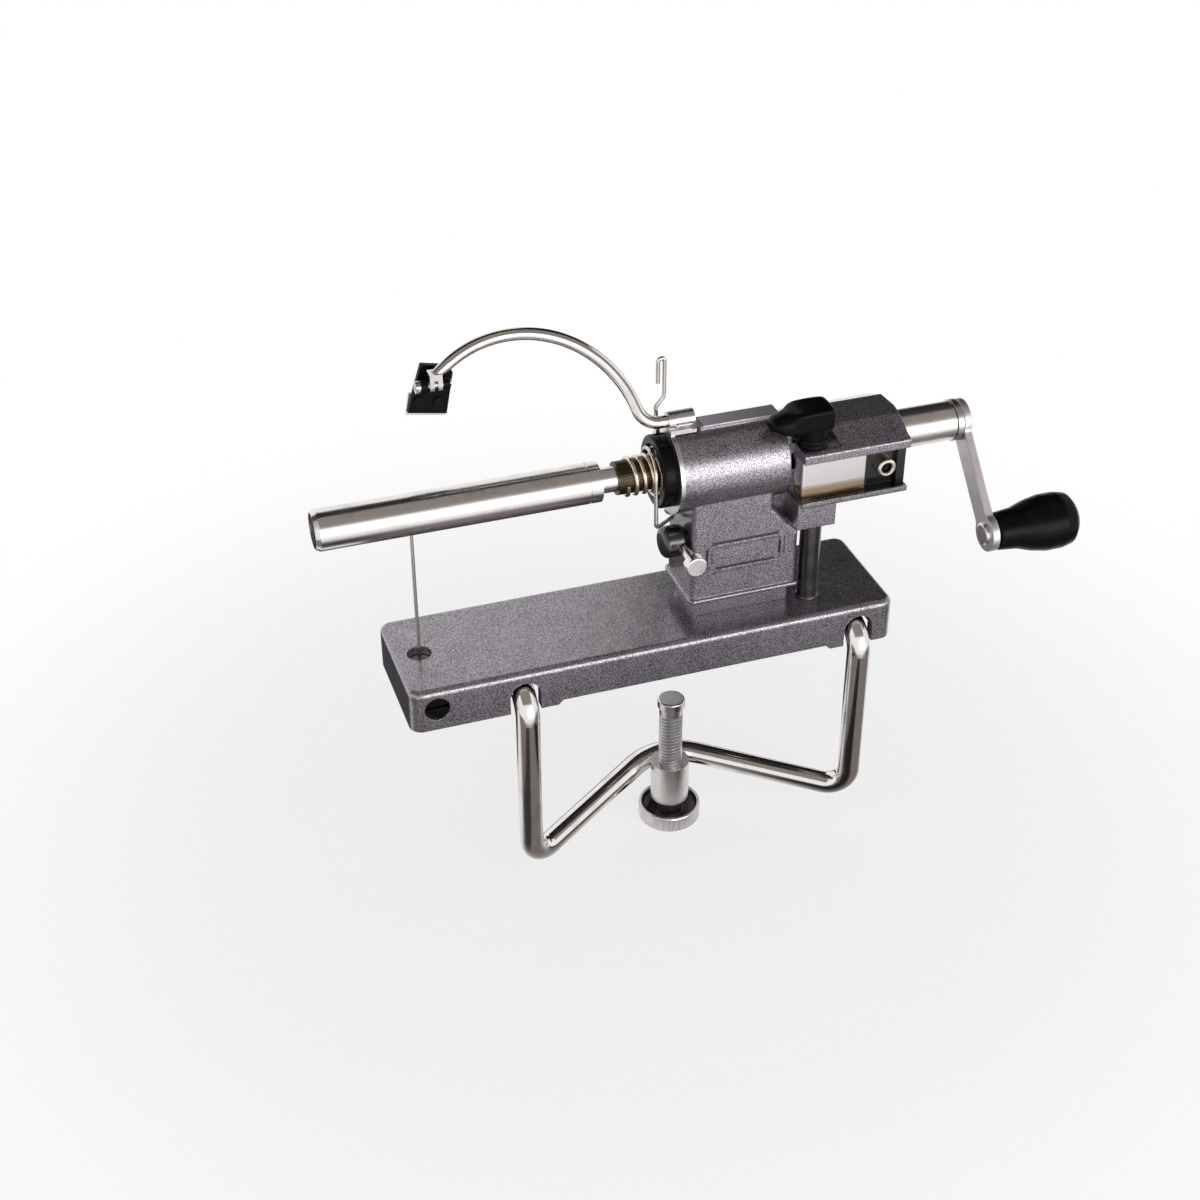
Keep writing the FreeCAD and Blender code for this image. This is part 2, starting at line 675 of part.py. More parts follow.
eccentric_offset = S.nut_travel / math.sqrt(2)
eccentric_side = S.nut_travel / 2
arm_axis = axis + S.arm_height
tongue_top = axis + S.cylinder_radius + S.knuckle_drop
pivot_z = axis + S.pivot_height


def make_base():
    """Hollow cast base with two arches for the clamp and a socket for the slicing wire."""
    body = new_body("base")
    outline = draw_rectangle(
        new_sketch(body, "base_outline", "XY"),
        left_face, S.base_length / 2, front_face, S.base_width / 2)
    slab = extruded(body, "Pad", "base_slab", outline, S.base_height)
    corners = body_fillet(body, "base_corners", slab, S.base_corner, lambda e: edge_runs_along(e, 2))
    edges = body_fillet(
        body, "base_top_edge", corners, S.base_edge, lambda e: edge_lies_at(e, 2, S.base_height))
    hollow = draw_rectangle(
        new_sketch(body, "base_hollow", "XY"),
        left_face + S.base_wall, S.base_length / 2 - S.base_wall,
        front_face + S.base_wall, S.base_width / 2 - S.base_wall)
    extruded(body, "Pocket", "base_cavity", hollow, cavity_top, backwards=True)
    half_boss = S.rod_radius + S.boss_wall
    boss_back = front_face + S.rod_insert
    for number, leg_x in enumerate(leg_centres):
        boss = draw_rectangle(
            new_sketch(body, "base_boss_outline_%d" % number, "XY"),
            leg_x - half_boss, leg_x + half_boss, boss_back - S.rod_insert / 2, boss_back)
        extruded(body, "Pad", "base_boss_%d" % number, boss, S.base_height - S.base_edge)
    wire_boss = draw_rectangle(
        new_sketch(body, "base_wire_boss_outline", "XY"),
        wire_x - S.socket_radius - S.boss_wall / 2, wire_x + S.socket_radius + S.boss_wall / 2,
        front_face + S.base_wall / 2, S.socket_radius + S.boss_wall)
    extruded(body, "Pad", "base_wire_boss", wire_boss, S.base_height - S.base_edge)
    for number, bolt_x in enumerate(bolt_places):
        stiffener = draw_circle(
            new_sketch(body, "base_bolt_boss_outline_%d" % number, "XY", S.base_height - S.base_edge),
            bolt_x, 0, S.bolt_head_radius + S.boss_wall / 2)
        extruded(body, "Pad", "base_bolt_boss_%d" % number, stiffener, S.boss_wall / 2, backwards=True)
    for number, leg_x in enumerate(leg_centres):
        half_arch = S.arch_width / 2
        arch = new_sketch(body, "base_arch_outline_%d" % number, "XZ", -front_face)
        draw_circle(arch, leg_x, S.arch_top - half_arch, half_arch)
        extruded(body, "Pocket", "base_arch_round_%d" % number, arch, S.base_wall * 1.5)
        slot = new_sketch(body, "base_arch_slot_outline_%d" % number, "XZ", -front_face)
        draw_rectangle(slot, leg_x - half_arch, leg_x + half_arch, 0, S.arch_top - half_arch)
        extruded(body, "Pocket", "base_arch_slot_%d" % number, slot, S.base_wall * 1.5)
        bore = new_sketch(body, "base_rod_bore_outline_%d" % number, "XZ", -front_face)
        draw_circle(bore, leg_x, S.rod_height, S.rod_radius + S.rod_fit)
        extruded(body, "Pocket", "base_rod_bore_%d" % number, bore, S.rod_insert + S.rod_fit)
    relief = new_sketch(body, "base_relief_outline", "XZ")
    draw_outline(relief, [
        (-S.relief_left, 0),
        (S.relief_right, 0),
        (S.relief_right - S.relief_height, S.relief_height),
        (-S.relief_left + S.relief_height, S.relief_height)])
    extruded(body, "Pocket", "base_relief", relief, S.base_width, both_ways=True)
    socket = draw_circle(new_sketch(body, "base_socket_outline", "XY", S.base_height), wire_x, 0, S.socket_radius)
    extruded(body, "Pocket", "base_socket", socket, S.base_height - S.boss_wall / 2)
    screw_hole = new_sketch(body, "base_screw_hole_outline", "XZ", -front_face)
    draw_circle(screw_hole, wire_x, S.set_screw_height, S.set_screw_radius)
    extruded(body, "Pocket", "base_screw_hole", screw_hole, -front_face)
    for number, bolt_x in enumerate(bolt_places):
        hole = new_sketch(body, "base_bolt_hole_outline_%d" % number, "XY", S.base_height)
        draw_circle(hole, bolt_x, 0, S.bolt_radius + S.bolt_play)
        extruded(body, "Pocket", "base_bolt_hole_%d" % number, hole, S.base_height)
    return finish(body, "base")


def make_head():
    """Head casting: column, barrel, neck, and the rear block with its open front channel."""
    body = new_body("head_casting")
    column = draw_outline(new_sketch(body, "column_outline", "XZ"), [
        (S.column_left, S.column_bottom + S.lip_height / 2),
        (S.column_right, S.column_bottom + S.lip_height / 2),
        (S.column_right, S.column_shoulder),
        (S.shoulder_left, S.shoulder_top),
        (S.shoulder_left, axis - S.cylinder_radius / 3),
        (S.column_left, axis - S.cylinder_radius / 3)])
    shaft = extruded(body, "Pad", "column", column, S.column_depth, both_ways=True)
    body_fillet(
        body, "column_corners", shaft, S.column_corner,
        lambda e: not edge_runs_along(e, 0)
        and (edge_lies_at(e, 1, column_front) or edge_lies_at(e, 1, -column_front)))
    out = S.lip_out
    bead_left = S.column_left - out
    bead_right = S.column_right + out
    bead_front = column_front - out
    bead_top = S.column_bottom + S.lip_height
    bead_sketch = draw_rectangle(
        new_sketch(body, "bead_outline", "XY", S.column_bottom), bead_left, bead_right, bead_front, -bead_front)
    bead = extruded(body, "Pad", "bead", bead_sketch, S.lip_height)
    bead_corners = body_fillet(
        body, "bead_corners", bead, S.column_corner,
        lambda e: edge_runs_along(e, 2) and abs(e.Length - float(S.lip_height)) < 0.01)
    body_fillet(
        body, "bead_round", bead_corners, out * 0.8,
        lambda e: edge_lies_at(e, 2, S.column_bottom)
        or edge_lies_at(e, 2, bead_top) and edge_reaches_outside(e, S.column_left, S.column_right, column_front))
    inset = S.foot_inset
    foot = draw_rectangle(
        new_sketch(body, "foot_outline", "XY", S.base_height),
        S.column_left + inset, S.column_right - inset, column_front + inset, -column_front - inset)
    extruded(body, "Pad", "foot", foot, S.column_bottom - S.base_height + S.lip_height / 2)
    barrel = draw_circle(new_sketch(body, "barrel_outline", "YZ", barrel_left), 0, axis, S.cylinder_radius)
    extruded(body, "Pad", "barrel", barrel, S.cylinder_end - barrel_left)
    land = draw_rectangle(
        new_sketch(body, "land_outline", "XY", axis),
        S.knuckle_right + S.land_gap, S.cylinder_end, -S.land_width / 2, S.land_width / 2)
    extruded(body, "Pad", "land", land, S.land_height)
    neck = draw_rectangle(
        new_sketch(body, "neck_outline", "YZ", S.cylinder_end - 1),
        -S.neck_front, S.neck_back, axis - S.neck_half_height, axis + S.neck_half_height)
    extruded(body, "Pad", "neck", neck, S.block_left - S.cylinder_end + 2)
    web = draw_rectangle(
        new_sketch(body, "web_outline", "XZ"),
        S.shoulder_left - 1, S.bracket_left + 1, S.column_shoulder, axis - S.neck_half_height + 1)
    extruded(body, "Pad", "web", web, 2 * S.web_half, both_ways=True)
    section = draw_outline(new_sketch(body, "block_outline", "YZ", S.block_left), [
        (-S.block_front, axis - S.lip_bottom),
        (S.block_back - S.back_chamfer, axis - S.lip_bottom),
        (S.block_back, axis - S.lip_bottom + S.back_chamfer),
        (S.block_back, axis + S.shoulder_height),
        (S.ridge_back, axis + S.facet_height),
        (-S.ridge_front, axis + S.ridge_height),
        (-S.facet_back, axis + S.facet_height),
        (-S.block_front, axis + S.lip_top)])
    block = extruded(body, "Pad", "block", section, S.block_right - S.block_left)
    block_length = float(S.block_right) - float(S.block_left)
    body_fillet(
        body, "block_edges", block, S.block_edge,
        lambda e: edge_runs_along(e, 0) and abs(e.Length - block_length) < 0.01
        and e.BoundBox.ZMin > float(axis) - float(S.lip_bottom) - 0.01)
    bracket = draw_rectangle(
        new_sketch(body, "bracket_outline", "XY", S.bracket_bottom),
        S.bracket_left, S.bracket_right, -S.bracket_front, -S.bracket_back)
    extruded(body, "Pad", "bracket", bracket, recess_low - S.bracket_bottom - S.lip_thickness / 2)
    frame = new_sketch(body, "panel_outline", "XZ", -column_front)
    draw_rectangle(frame, S.panel_left, S.panel_right, S.panel_bottom, S.panel_top)
    raised = extruded(body, "Pad", "panel", frame, S.panel_relief)
    front = column_front - S.panel_relief
    body_fillet(
        body, "panel_corners", raised, S.panel_radius,
        lambda e: edge_runs_along(e, 1) and abs(e.Length - float(S.panel_relief)) < 0.01
        and e.BoundBox.YMin < float(front) + 0.01)
    inner = new_sketch(body, "panel_field_outline", "XZ", -front)
    line = S.panel_line
    draw_rectangle(
        inner, S.panel_left + line, S.panel_right - line, S.panel_bottom + line, S.panel_top - line)
    extruded(body, "Pocket", "panel_field", inner, S.panel_relief)

    bore = draw_circle(new_sketch(body, "bore_outline", "YZ", barrel_left), 0, axis, S.barrel_bore)
    extruded(body, "Pocket", "bore", bore, S.block_right - barrel_left, backwards=True)
    front_seat = draw_circle(new_sketch(body, "front_seat_outline", "YZ", barrel_left), 0, axis, S.bush_radius)
    extruded(body, "Pocket", "front_seat", front_seat, S.bush_length, backwards=True)
    rear_seat = draw_circle(new_sketch(body, "rear_seat_outline", "YZ", S.block_right), 0, axis, S.bush_radius)
    extruded(body, "Pocket", "rear_seat", rear_seat, S.bush_length)

    recess = new_sketch(body, "recess_outline", "XZ", S.block_front)
    draw_rectangle(recess, S.block_left - 1, S.block_right + 1, recess_low, recess_high)
    extruded(body, "Pocket", "recess", recess, S.plate_set_back + S.plate_thickness)
    pocket = new_sketch(body, "nut_pocket_outline", "XZ", S.block_front)
    draw_rectangle(
        pocket, S.block_left - 1, nut_left + S.nut_length + S.nut_gap,
        axis - S.nut_height / 2 - S.nut_gap, recess_high)
    extruded(body, "Pocket", "nut_pocket", pocket, S.block_front - S.barrel_bore * 0.6)
    flange_slot = new_sketch(body, "flange_slot_outline", "XZ", S.block_front)
    draw_rectangle(flange_slot, S.block_left - 1, nut_left, recess_low, recess_high)
    extruded(body, "Pocket", "flange_slot", flange_slot, S.plate_set_back + S.plate_return + S.nut_gap)
    notch = new_sketch(body, "notch_outline", "XZ", S.block_front)
    draw_rectangle(notch, S.notch_left, S.notch_right, recess_low, recess_high)
    extruded(body, "Pocket", "notch", notch, S.notch_depth)
    ledge = draw_outline(new_sketch(body, "ledge_outline", "XY", axis + S.ledge_height), [
        (S.block_left - 1, -S.block_front - 1),
        (S.ledge_right + S.lip_thickness, -S.block_front - 1),
        (S.ledge_right, -S.ledge_back),
        (S.block_left - 1, -S.ledge_back)])
    extruded(body, "Pocket", "ledge", ledge, S.cylinder_radius, backwards=True)
    shaft_hole = new_sketch(body, "lever_hole_outline", "XY", axis + S.ledge_height)
    draw_circle(shaft_hole, S.lever_x, -S.lever_y, S.lever_shaft_radius + S.running_fit)
    extruded(body, "Pocket", "lever_hole", shaft_hole, S.ledge_height - S.lip_top + S.upper_lip + SEAT)
    cover_screw = new_sketch(body, "cover_screw_hole_outline", "XZ", S.block_front)
    draw_circle(cover_screw, S.cover_screw_x, axis - S.cover_screw_drop, S.cover_screw_radius / 2 + SEAT)
    extruded(body, "Pocket", "cover_screw_hole", cover_screw, S.notch_depth + S.lip_thickness)
    for number, bolt_x in enumerate(bolt_places):
        hole = new_sketch(body, "head_bolt_hole_outline_%d" % number, "XY", S.base_height)
        draw_circle(hole, bolt_x, 0, S.bolt_radius + SEAT)
        extruded(body, "Pocket", "head_bolt_hole_%d" % number, hole, S.bolt_reach + 1, backwards=True)
    post_hole = new_sketch(body, "post_hole_outline", "XY", S.bracket_bottom)
    draw_circle(post_hole, S.post_x, -S.post_y, S.post_radius + SEAT)
    extruded(body, "Pocket", "post_hole", post_hole, S.post_radius * 2, backwards=True)
    anchor_hole = new_sketch(body, "anchor_hole_outline", "YZ", S.column_left)
    draw_circle(anchor_hole, S.anchor_y, axis - S.anchor_drop, S.anchor_radius + SEAT)
    extruded(body, "Pocket", "anchor_hole", anchor_hole, S.anchor_depth, backwards=True)
    side_hole = new_sketch(body, "side_screw_hole_outline", "YZ", S.column_left)
    draw_circle(side_hole, -S.side_screw_y, axis - S.side_screw_drop, S.side_shank_radius + S.running_fit)
    extruded(body, "Pocket", "side_screw_hole", side_hole, S.side_screw_length + 1, backwards=True)
    return finish(body, "head_casting")


def make_fasteners():
    """Bolts under the head, its support post, and the slotted screw in the notch."""
    bolts = []
    for number, bolt_x in enumerate(bolt_places):
        seat = S.base_height - S.base_edge - S.boss_wall / 2
        head = rod_along("Z", "bolt_head_%d" % number, S.bolt_head_radius, seat - S.bolt_head_height, seat, bolt_x)
        shank = rod_along("Z", "bolt_shank_%d" % number, S.bolt_radius, seat, S.base_height + S.bolt_reach, bolt_x)
        socket = rod_along(
            "Z", "bolt_socket_%d" % number, S.bolt_radius * 0.9,
            seat - S.bolt_head_height, seat - S.bolt_head_height / 2, bolt_x)
        bolts.append(cut("bolt_%d" % number, fuse("bolt_body_%d" % number, head, shank), socket))
    group = document.addObject("Part::Compound", "bolt_group")
    group.Links = bolts
    finish(group, "head_bolts")

    post = rod_along(
        "Z", "post_bar", S.post_radius, S.base_height, S.bracket_bottom + S.post_radius * 2 - SEAT, S.post_x, -S.post_y)
    foot = rod_along(
        "Z", "post_foot", S.post_foot_radius, S.base_height, S.base_height + S.post_foot_height, S.post_x, -S.post_y)
    round_foot = rounded(
        "post_foot_round", foot, S.post_foot_height / 2,
        lambda e: edge_lies_at(e, 2, S.base_height + S.post_foot_height))
    finish(fuse("post", post, round_foot), "support_post")

    floor = -S.block_front + S.notch_depth
    height = axis - S.cover_screw_drop
    head = rod_along(
        "Y", "cover_screw_head", S.cover_screw_radius, floor - S.cover_screw_height, floor, S.cover_screw_x, height)
    shank = rod_along(
        "Y", "cover_screw_shank", S.cover_screw_radius / 2, floor, floor + S.lip_thickness - SEAT,
        S.cover_screw_x, height)
    cup = rod_along(
        "Y", "cover_screw_cup", S.cover_screw_radius * 0.55, floor - S.cover_screw_height,
        floor - S.cover_screw_height / 2, S.cover_screw_x, height)
    slot = box(
        "cover_screw_slot",
        (S.cover_screw_x, S.cover_screw_x + S.cover_screw_radius * 1.2),
        (floor - S.cover_screw_height, floor - S.cover_screw_height / 2),
        (height - S.plate_thickness / 2, height + S.plate_thickness / 2))
    finish(cut("cover_screw_whole", fuse("cover_screw_body", head, shank), cup, slot), "cover_screw")


def make_cover_plate():
    """Bent steel plate that closes the channel in front of the half nut."""
    thick = S.plate_thickness
    front = -S.block_front + S.plate_set_back
    face = box(
        "plate_face", (S.block_left, S.plate_right), (front, front + thick),
        (recess_low + SEAT, recess_high - SEAT))
    flange = box(
        "plate_flange", (S.block_left, S.block_left + thick), (front, front + S.plate_return),
        (recess_low + SEAT, recess_high - SEAT))
    plate = fuse("plate_bent", face, flange)
    bend = rounded(
        "plate_bend", plate, thick * 0.9,
        lambda e: edge_runs_along(e, 2) and edge_lies_at(e, 0, S.block_left) and edge_lies_at(e, 1, front))
    return finish(bend, "cover_plate")


def make_bushes():
    """Two bushes that carry the spindle in the head."""
    for node, start in (("front_bush", barrel_left), ("rear_bush", S.block_right - S.bush_length)):
        outside = rod_along("X", node + "_outside", S.bush_radius, start, start + S.bush_length, 0, axis)
        bore = rod_along("X", node + "_bore", bush_bore, start - 1, start + S.bush_length + 1, 0, axis)
        finish(cut(node + "_ring", outside, bore), node)


def make_half_nut():
    """Half nut with three conical teeth that stand in the thread's grooves."""
    body = box(
        "nut_block", (nut_left, nut_left + S.nut_length), (nut_outer, nut_inner),
        (axis - S.nut_height / 2, axis + S.nut_height / 2))
    pin_x = S.lever_x - eccentric_side
    pin_y = -S.lever_y + eccentric_side
    half_slot = S.eccentric_radius + S.eccentric_play
    slot = box(
        "nut_slot", (S.lever_x - eccentric_offset - half_slot, pin_x + half_slot),
        (pin_y - half_slot, pin_y + half_slot), (axis, axis + S.nut_height))
    teeth = []
    first_groove = math.ceil((nut_left + S.thread_start + S.tooth_root).value / S.thread_pitch.value - 0.5)
    for number in range(3):
        tooth_x = -S.thread_start + (first_groove + number + 0.5) * S.thread_pitch
        teeth.append(cone_along(
            "Y", "tooth_%d" % number, S.tooth_root, S.tooth_tip, nut_inner, nut_inner + S.tooth_depth,
            tooth_x, axis))
    return finish(fuse("nut_with_teeth", cut("nut_slotted", body, slot), *teeth), "half_nut")


def make_lever():
    """Black wing lever, and its steel shaft with an eccentric pin that moves the half nut."""
    hub_bottom = axis + S.ledge_height + S.hub_gap
    head_bottom = hub_bottom + S.hub_height
    top = head_bottom + S.lever_head_height
    bore_top = head_bottom + S.lever_head_height / 2
    hub = rod_along("Z", "lever_hub", S.hub_radius, hub_bottom, head_bottom + 1, S.lever_x, -S.lever_y)

    head = new_body("lever_head")
    place(head, S.lever_x, -S.lever_y, 0)
    sketch = new_sketch(head, "lever_head_outline", "XY", head_bottom)
    reach = S.lever_reach
    lean = (S.lever_head_radius - S.lever_tip_radius) / reach
    cosine = math.sqrt(1 - lean.value ** 2)
    wing = draw_outline(sketch, [
        (-lean * S.lever_head_radius, S.lever_head_radius * cosine),
        (-reach - lean * S.lever_tip_radius, S.lever_tip_radius * cosine),
        (-reach - lean * S.lever_tip_radius, -S.lever_tip_radius * cosine),
        (-lean * S.lever_head_radius, -S.lever_head_radius * cosine)])
    extruded(head, "Pad", "lever_wing", wing, S.lever_head_height)
    round_end = draw_circle(
        new_sketch(head, "lever_round_outline", "XY", head_bottom), 0, 0, S.lever_head_radius)
    extruded(head, "Pad", "lever_round", round_end, S.lever_head_height)
    tip = draw_circle(new_sketch(head, "lever_tip_outline", "XY", head_bottom), -reach, 0, S.lever_tip_radius)
    extruded(head, "Pad", "lever_tip", tip, S.lever_head_height)
    slope = draw_outline(new_sketch(head, "lever_slope_outline", "XZ"), [
        (-reach - S.lever_tip_radius - 1, head_bottom + S.lever_tip_height),
        (-S.lever_tip_radius, top),
        (-S.lever_tip_radius, top + 1),
        (-reach - S.lever_tip_radius - 1, top + 1)])
    extruded(head, "Pocket", "lever_slope", slope, S.lever_head_radius * 4, both_ways=True)

    knob = fuse("lever_hub_and_head", hub, head)
    bore = rod_along(
        "Z", "lever_bore", S.lever_shaft_radius, hub_bottom - 1, bore_top, S.lever_x, -S.lever_y)
    finish(cut("lever_bored", knob, bore), "release_lever")

    shaft_bottom = recess_high + SEAT
    shaft = rod_along("Z", "lever_shaft_bar", S.lever_shaft_radius, shaft_bottom, bore_top, S.lever_x, -S.lever_y)
    pin = rod_along(
        "Z", "eccentric_pin", S.eccentric_radius, axis + S.nut_gap, shaft_bottom,
        S.lever_x - eccentric_side, -S.lever_y + eccentric_side)
    finish(fuse("lever_shaft_whole", shaft, pin), "lever_shaft")


def make_spindle():
    """Coring tube, threaded core with its round ridge, and the rear tube and journal."""
    left = -S.tube_left
    right = -S.tube_right
    inner = S.spindle_radius - S.tube_wall
    outside = rod_along("X", "tube_outside", S.spindle_radius, left + S.tube_bevel, right, 0, axis)
    bevel = cone_along(
        "X", "tube_bevel_cone", inner + S.tube_wall / 5, S.spindle_radius, left, left + S.tube_bevel, 0, axis)
    hollow = rod_along("X", "tube_hollow", inner, left - 1, right - S.tube_plug, 0, axis)
    groove_left = -S.tube_groove_x
    groove_ring = cut(
        "tube_groove_ring",
        rod_along("X", "groove_outside", S.spindle_radius + 1, groove_left, groove_left + S.tube_groove, 0, axis),
        rod_along(
            "X", "groove_inside", S.spindle_radius - S.tube_groove, groove_left - 1,
            groove_left + S.tube_groove + 1, 0, axis))
    window = box(
        "tube_window", (left + S.window_start, left + S.window_start + S.window_length),
        (0, S.spindle_radius + 1), (axis - S.window_width / 2, axis + S.window_width / 2))
    window_ends = rounded(
        "tube_window_round", window, S.window_width * 0.49, lambda e: edge_runs_along(e, 1))
    tube = cut("tube_cut", fuse("tube_blank", outside, bevel), hollow, groove_ring, window_ends)
    finish(tube, "coring_tube")

    thread_left = -S.thread_start
    thread_right = thread_left + S.thread_turns * S.thread_pitch + 2 * S.ridge_radius
    neck = rod_along("X", "spindle_neck", S.neck_radius, right, right + S.neck_length, 0, axis)
    core = rod_along("X", "spindle_core_bar", S.core_radius, right + S.neck_length, thread_right, 0, axis)
    rear = rod_along("X", "spindle_rear", S.spindle_radius, thread_right, S.rear_tube_end, 0, axis)
    journal = rod_along("X", "spindle_journal", S.journal_radius, S.rear_tube_end, S.crank_face, 0, axis)
    stud = rod_along(
        "X", "spindle_stud", S.crank_stud_radius, S.crank_face, S.crank_face + S.crank_thickness, 0, axis)
    finish(fuse("spindle_whole", neck, core, rear, journal, stud), "lead_screw")

    points = helix_points(
        helix_radius.value, S.thread_pitch.value, 0, S.thread_turns.value, axis.value, -S.thread_start.value)
    ridge = tube_along(Part.Wire(arcs_through(points)), S.ridge_radius.value)
    finish(from_wire("thread_ridge", ridge), "feed_thread")
    gap = S.thread_pitch.value - 2 * S.ridge_radius.value
    print("feed_thread: turn to turn", round(gap, 3), "mm clear")

    ring_left = S.rear_tube_end + S.thrust_gap
    ring_right = S.crank_face - S.thrust_gap
    ring = cut(
        "thrust_ring_cut",
        rod_along("X", "thrust_ring_outside", S.thrust_ring_radius, ring_left, ring_right, 0, axis),
        rod_along("X", "thrust_ring_bore", S.journal_radius + S.ring_fit, ring_left - 1, ring_right + 1, 0, axis))
    finish(ring, "thrust_ring")


def make_crank():
    """Crank arm, and the riveted axle with the pear-shaped knob."""
    arm = new_body("crank_arm")
    tilt = Rotation(Vector(1, 0, 0), -S.crank_angle.value)
    arm.Placement = FreeCAD.Placement(Vector(), tilt)
    bind(arm, "Placement.Base.x", S.crank_face)
    bind(arm, "Placement.Base.z", axis)
    half = S.crank_width / 2
    bar = draw_rectangle(new_sketch(arm, "crank_bar_outline", "YZ"), -half, half, -S.crank_throw, 0)
    extruded(arm, "Pad", "crank_bar", bar, S.crank_thickness)
    eye = draw_circle(new_sketch(arm, "crank_eye_outline", "YZ"), 0, 0, S.crank_eye_radius)
    extruded(arm, "Pad", "crank_eye", eye, S.crank_thickness)
    tip = draw_circle(new_sketch(arm, "crank_tip_outline", "YZ"), 0, -S.crank_throw, S.crank_tip_radius)
    last = extruded(arm, "Pad", "crank_tip", tip, S.crank_thickness)
    shoulders = body_fillet(
        arm, "crank_shoulders", last, S.crank_edge * 4, lambda e: edge_runs_along(e, 0))
    body_fillet(
        arm, "crank_edges", shoulders, S.crank_edge,
        lambda e: edge_lies_at(e, 0, 0) or edge_lies_at(e, 0, S.crank_thickness))
    for name, low, radius in (("stud", 0, S.crank_stud_radius), ("axle", -S.crank_throw, S.pin_radius)):
        hole = draw_circle(
            new_sketch(arm, "crank_%s_hole_outline" % name, "YZ", S.crank_thickness), 0, low, radius)
        extruded(arm, "Pocket", "crank_%s_hole" % name, hole, S.crank_thickness)
    finish(arm, "crank_arm")

    angle = math.radians(S.crank_angle.value)
    knob_y = -S.crank_throw * math.sin(angle)
    knob_z = axis - S.crank_throw * math.cos(angle)
    knob_left = S.crank_face + S.crank_thickness + S.knob_gap
    rivet = rod_along(
        "X", "rivet_head", S.pin_head_radius, S.crank_face - S.pin_head_height, S.crank_face, knob_y, knob_z)
    rivet_round = rounded(
        "rivet_head_round", rivet, S.pin_head_height * 0.8,
        lambda e: edge_lies_at(e, 0, S.crank_face - S.pin_head_height))
    axle = rod_along(
        "X", "knob_axle_bar", S.pin_radius, S.crank_face, knob_left + S.knob_bore - S.knob_gap, knob_y, knob_z)
    finish(fuse("knob_axle_whole", rivet_round, axle), "knob_axle")

    knob = new_body("crank_knob")
    place(knob, knob_left, knob_y, knob_z)
    profile = new_sketch(knob, "knob_profile", "XY")
    outline_knob(profile)
    turned(knob, "Revolution", "knob_pear", profile, "H_Axis")
    bore = draw_circle(new_sketch(knob, "knob_bore_outline", "YZ"), 0, 0, S.pin_radius + S.knob_fit)
    extruded(knob, "Pocket", "knob_bore", bore, S.knob_bore, backwards=True)
    finish(knob, "crank_knob")


def outline_knob(sketch):
    """Half outline of the pear: one arc up to the belly and one down to the flat end."""
    belly_x, belly_r = S.knob_belly.value, S.knob_radius.value
    neck_r = S.knob_neck.value
    end_r = belly_r * KNOB_END
    length = S.knob_length.value
    start = Vector(0, neck_r, 0)
    belly = Vector(belly_x, belly_r, 0)
    end = Vector(length, end_r, 0)
    waist = Vector(belly_x * KNOB_WAIST[0], neck_r + (belly_r - neck_r) * KNOB_WAIST[1], 0)
    brow = Vector(belly_x + (length - belly_x) * KNOB_BROW[0], belly_r * KNOB_BROW[1], 0)
    first = sketch.addGeometry(Part.Arc(start, waist, belly), False)
    second = sketch.addGeometry(Part.Arc(belly, brow, end), False)
    face = sketch.addGeometry(Part.LineSegment(end, Vector(length, 0, 0)), False)
    middle = sketch.addGeometry(Part.LineSegment(Vector(length, 0, 0), Vector(0, 0, 0)), False)
    neck = sketch.addGeometry(Part.LineSegment(Vector(0, 0, 0), start), False)
    return (first, second, face, middle, neck)


def make_spring_cap():
    """Black cup over the spring, open to the bracket's ring."""
    cup = rod_along("X", "cap_outside", S.cap_radius, S.cap_start, S.ring_start, 0, axis)
    round_cup = rounded("cap_round", cup, S.cap_wall * 0.8, lambda e: edge_lies_at(e, 0, S.cap_start))
    opening = rod_along("X", "cap_opening", S.cap_hole, S.cap_start - 1, S.ring_start + 1, 0, axis)
    hollow = rod_along(
        "X", "cap_hollow", S.cap_radius - S.cap_wall, S.cap_start + S.cap_wall, S.ring_start + 1, 0, axis)
    coil_end = S.spring_start + (COIL_TURNS + COIL_EXIT) * S.spring_pitch
    strand_y = S.arm_radius + S.spring_wire + S.finger_gap
    gate = S.spring_wire + SEAT * 6
    notch = box(
        "cap_notch", (coil_end - gate - S.finger_x, S.ring_start + 1), (strand_y - gate, strand_y + gate),
        (axis + S.spring_radius, axis + S.cap_radius + 1))
    return finish(cut("cap_cut", round_cup, opening, hollow, notch), "spring_cap")


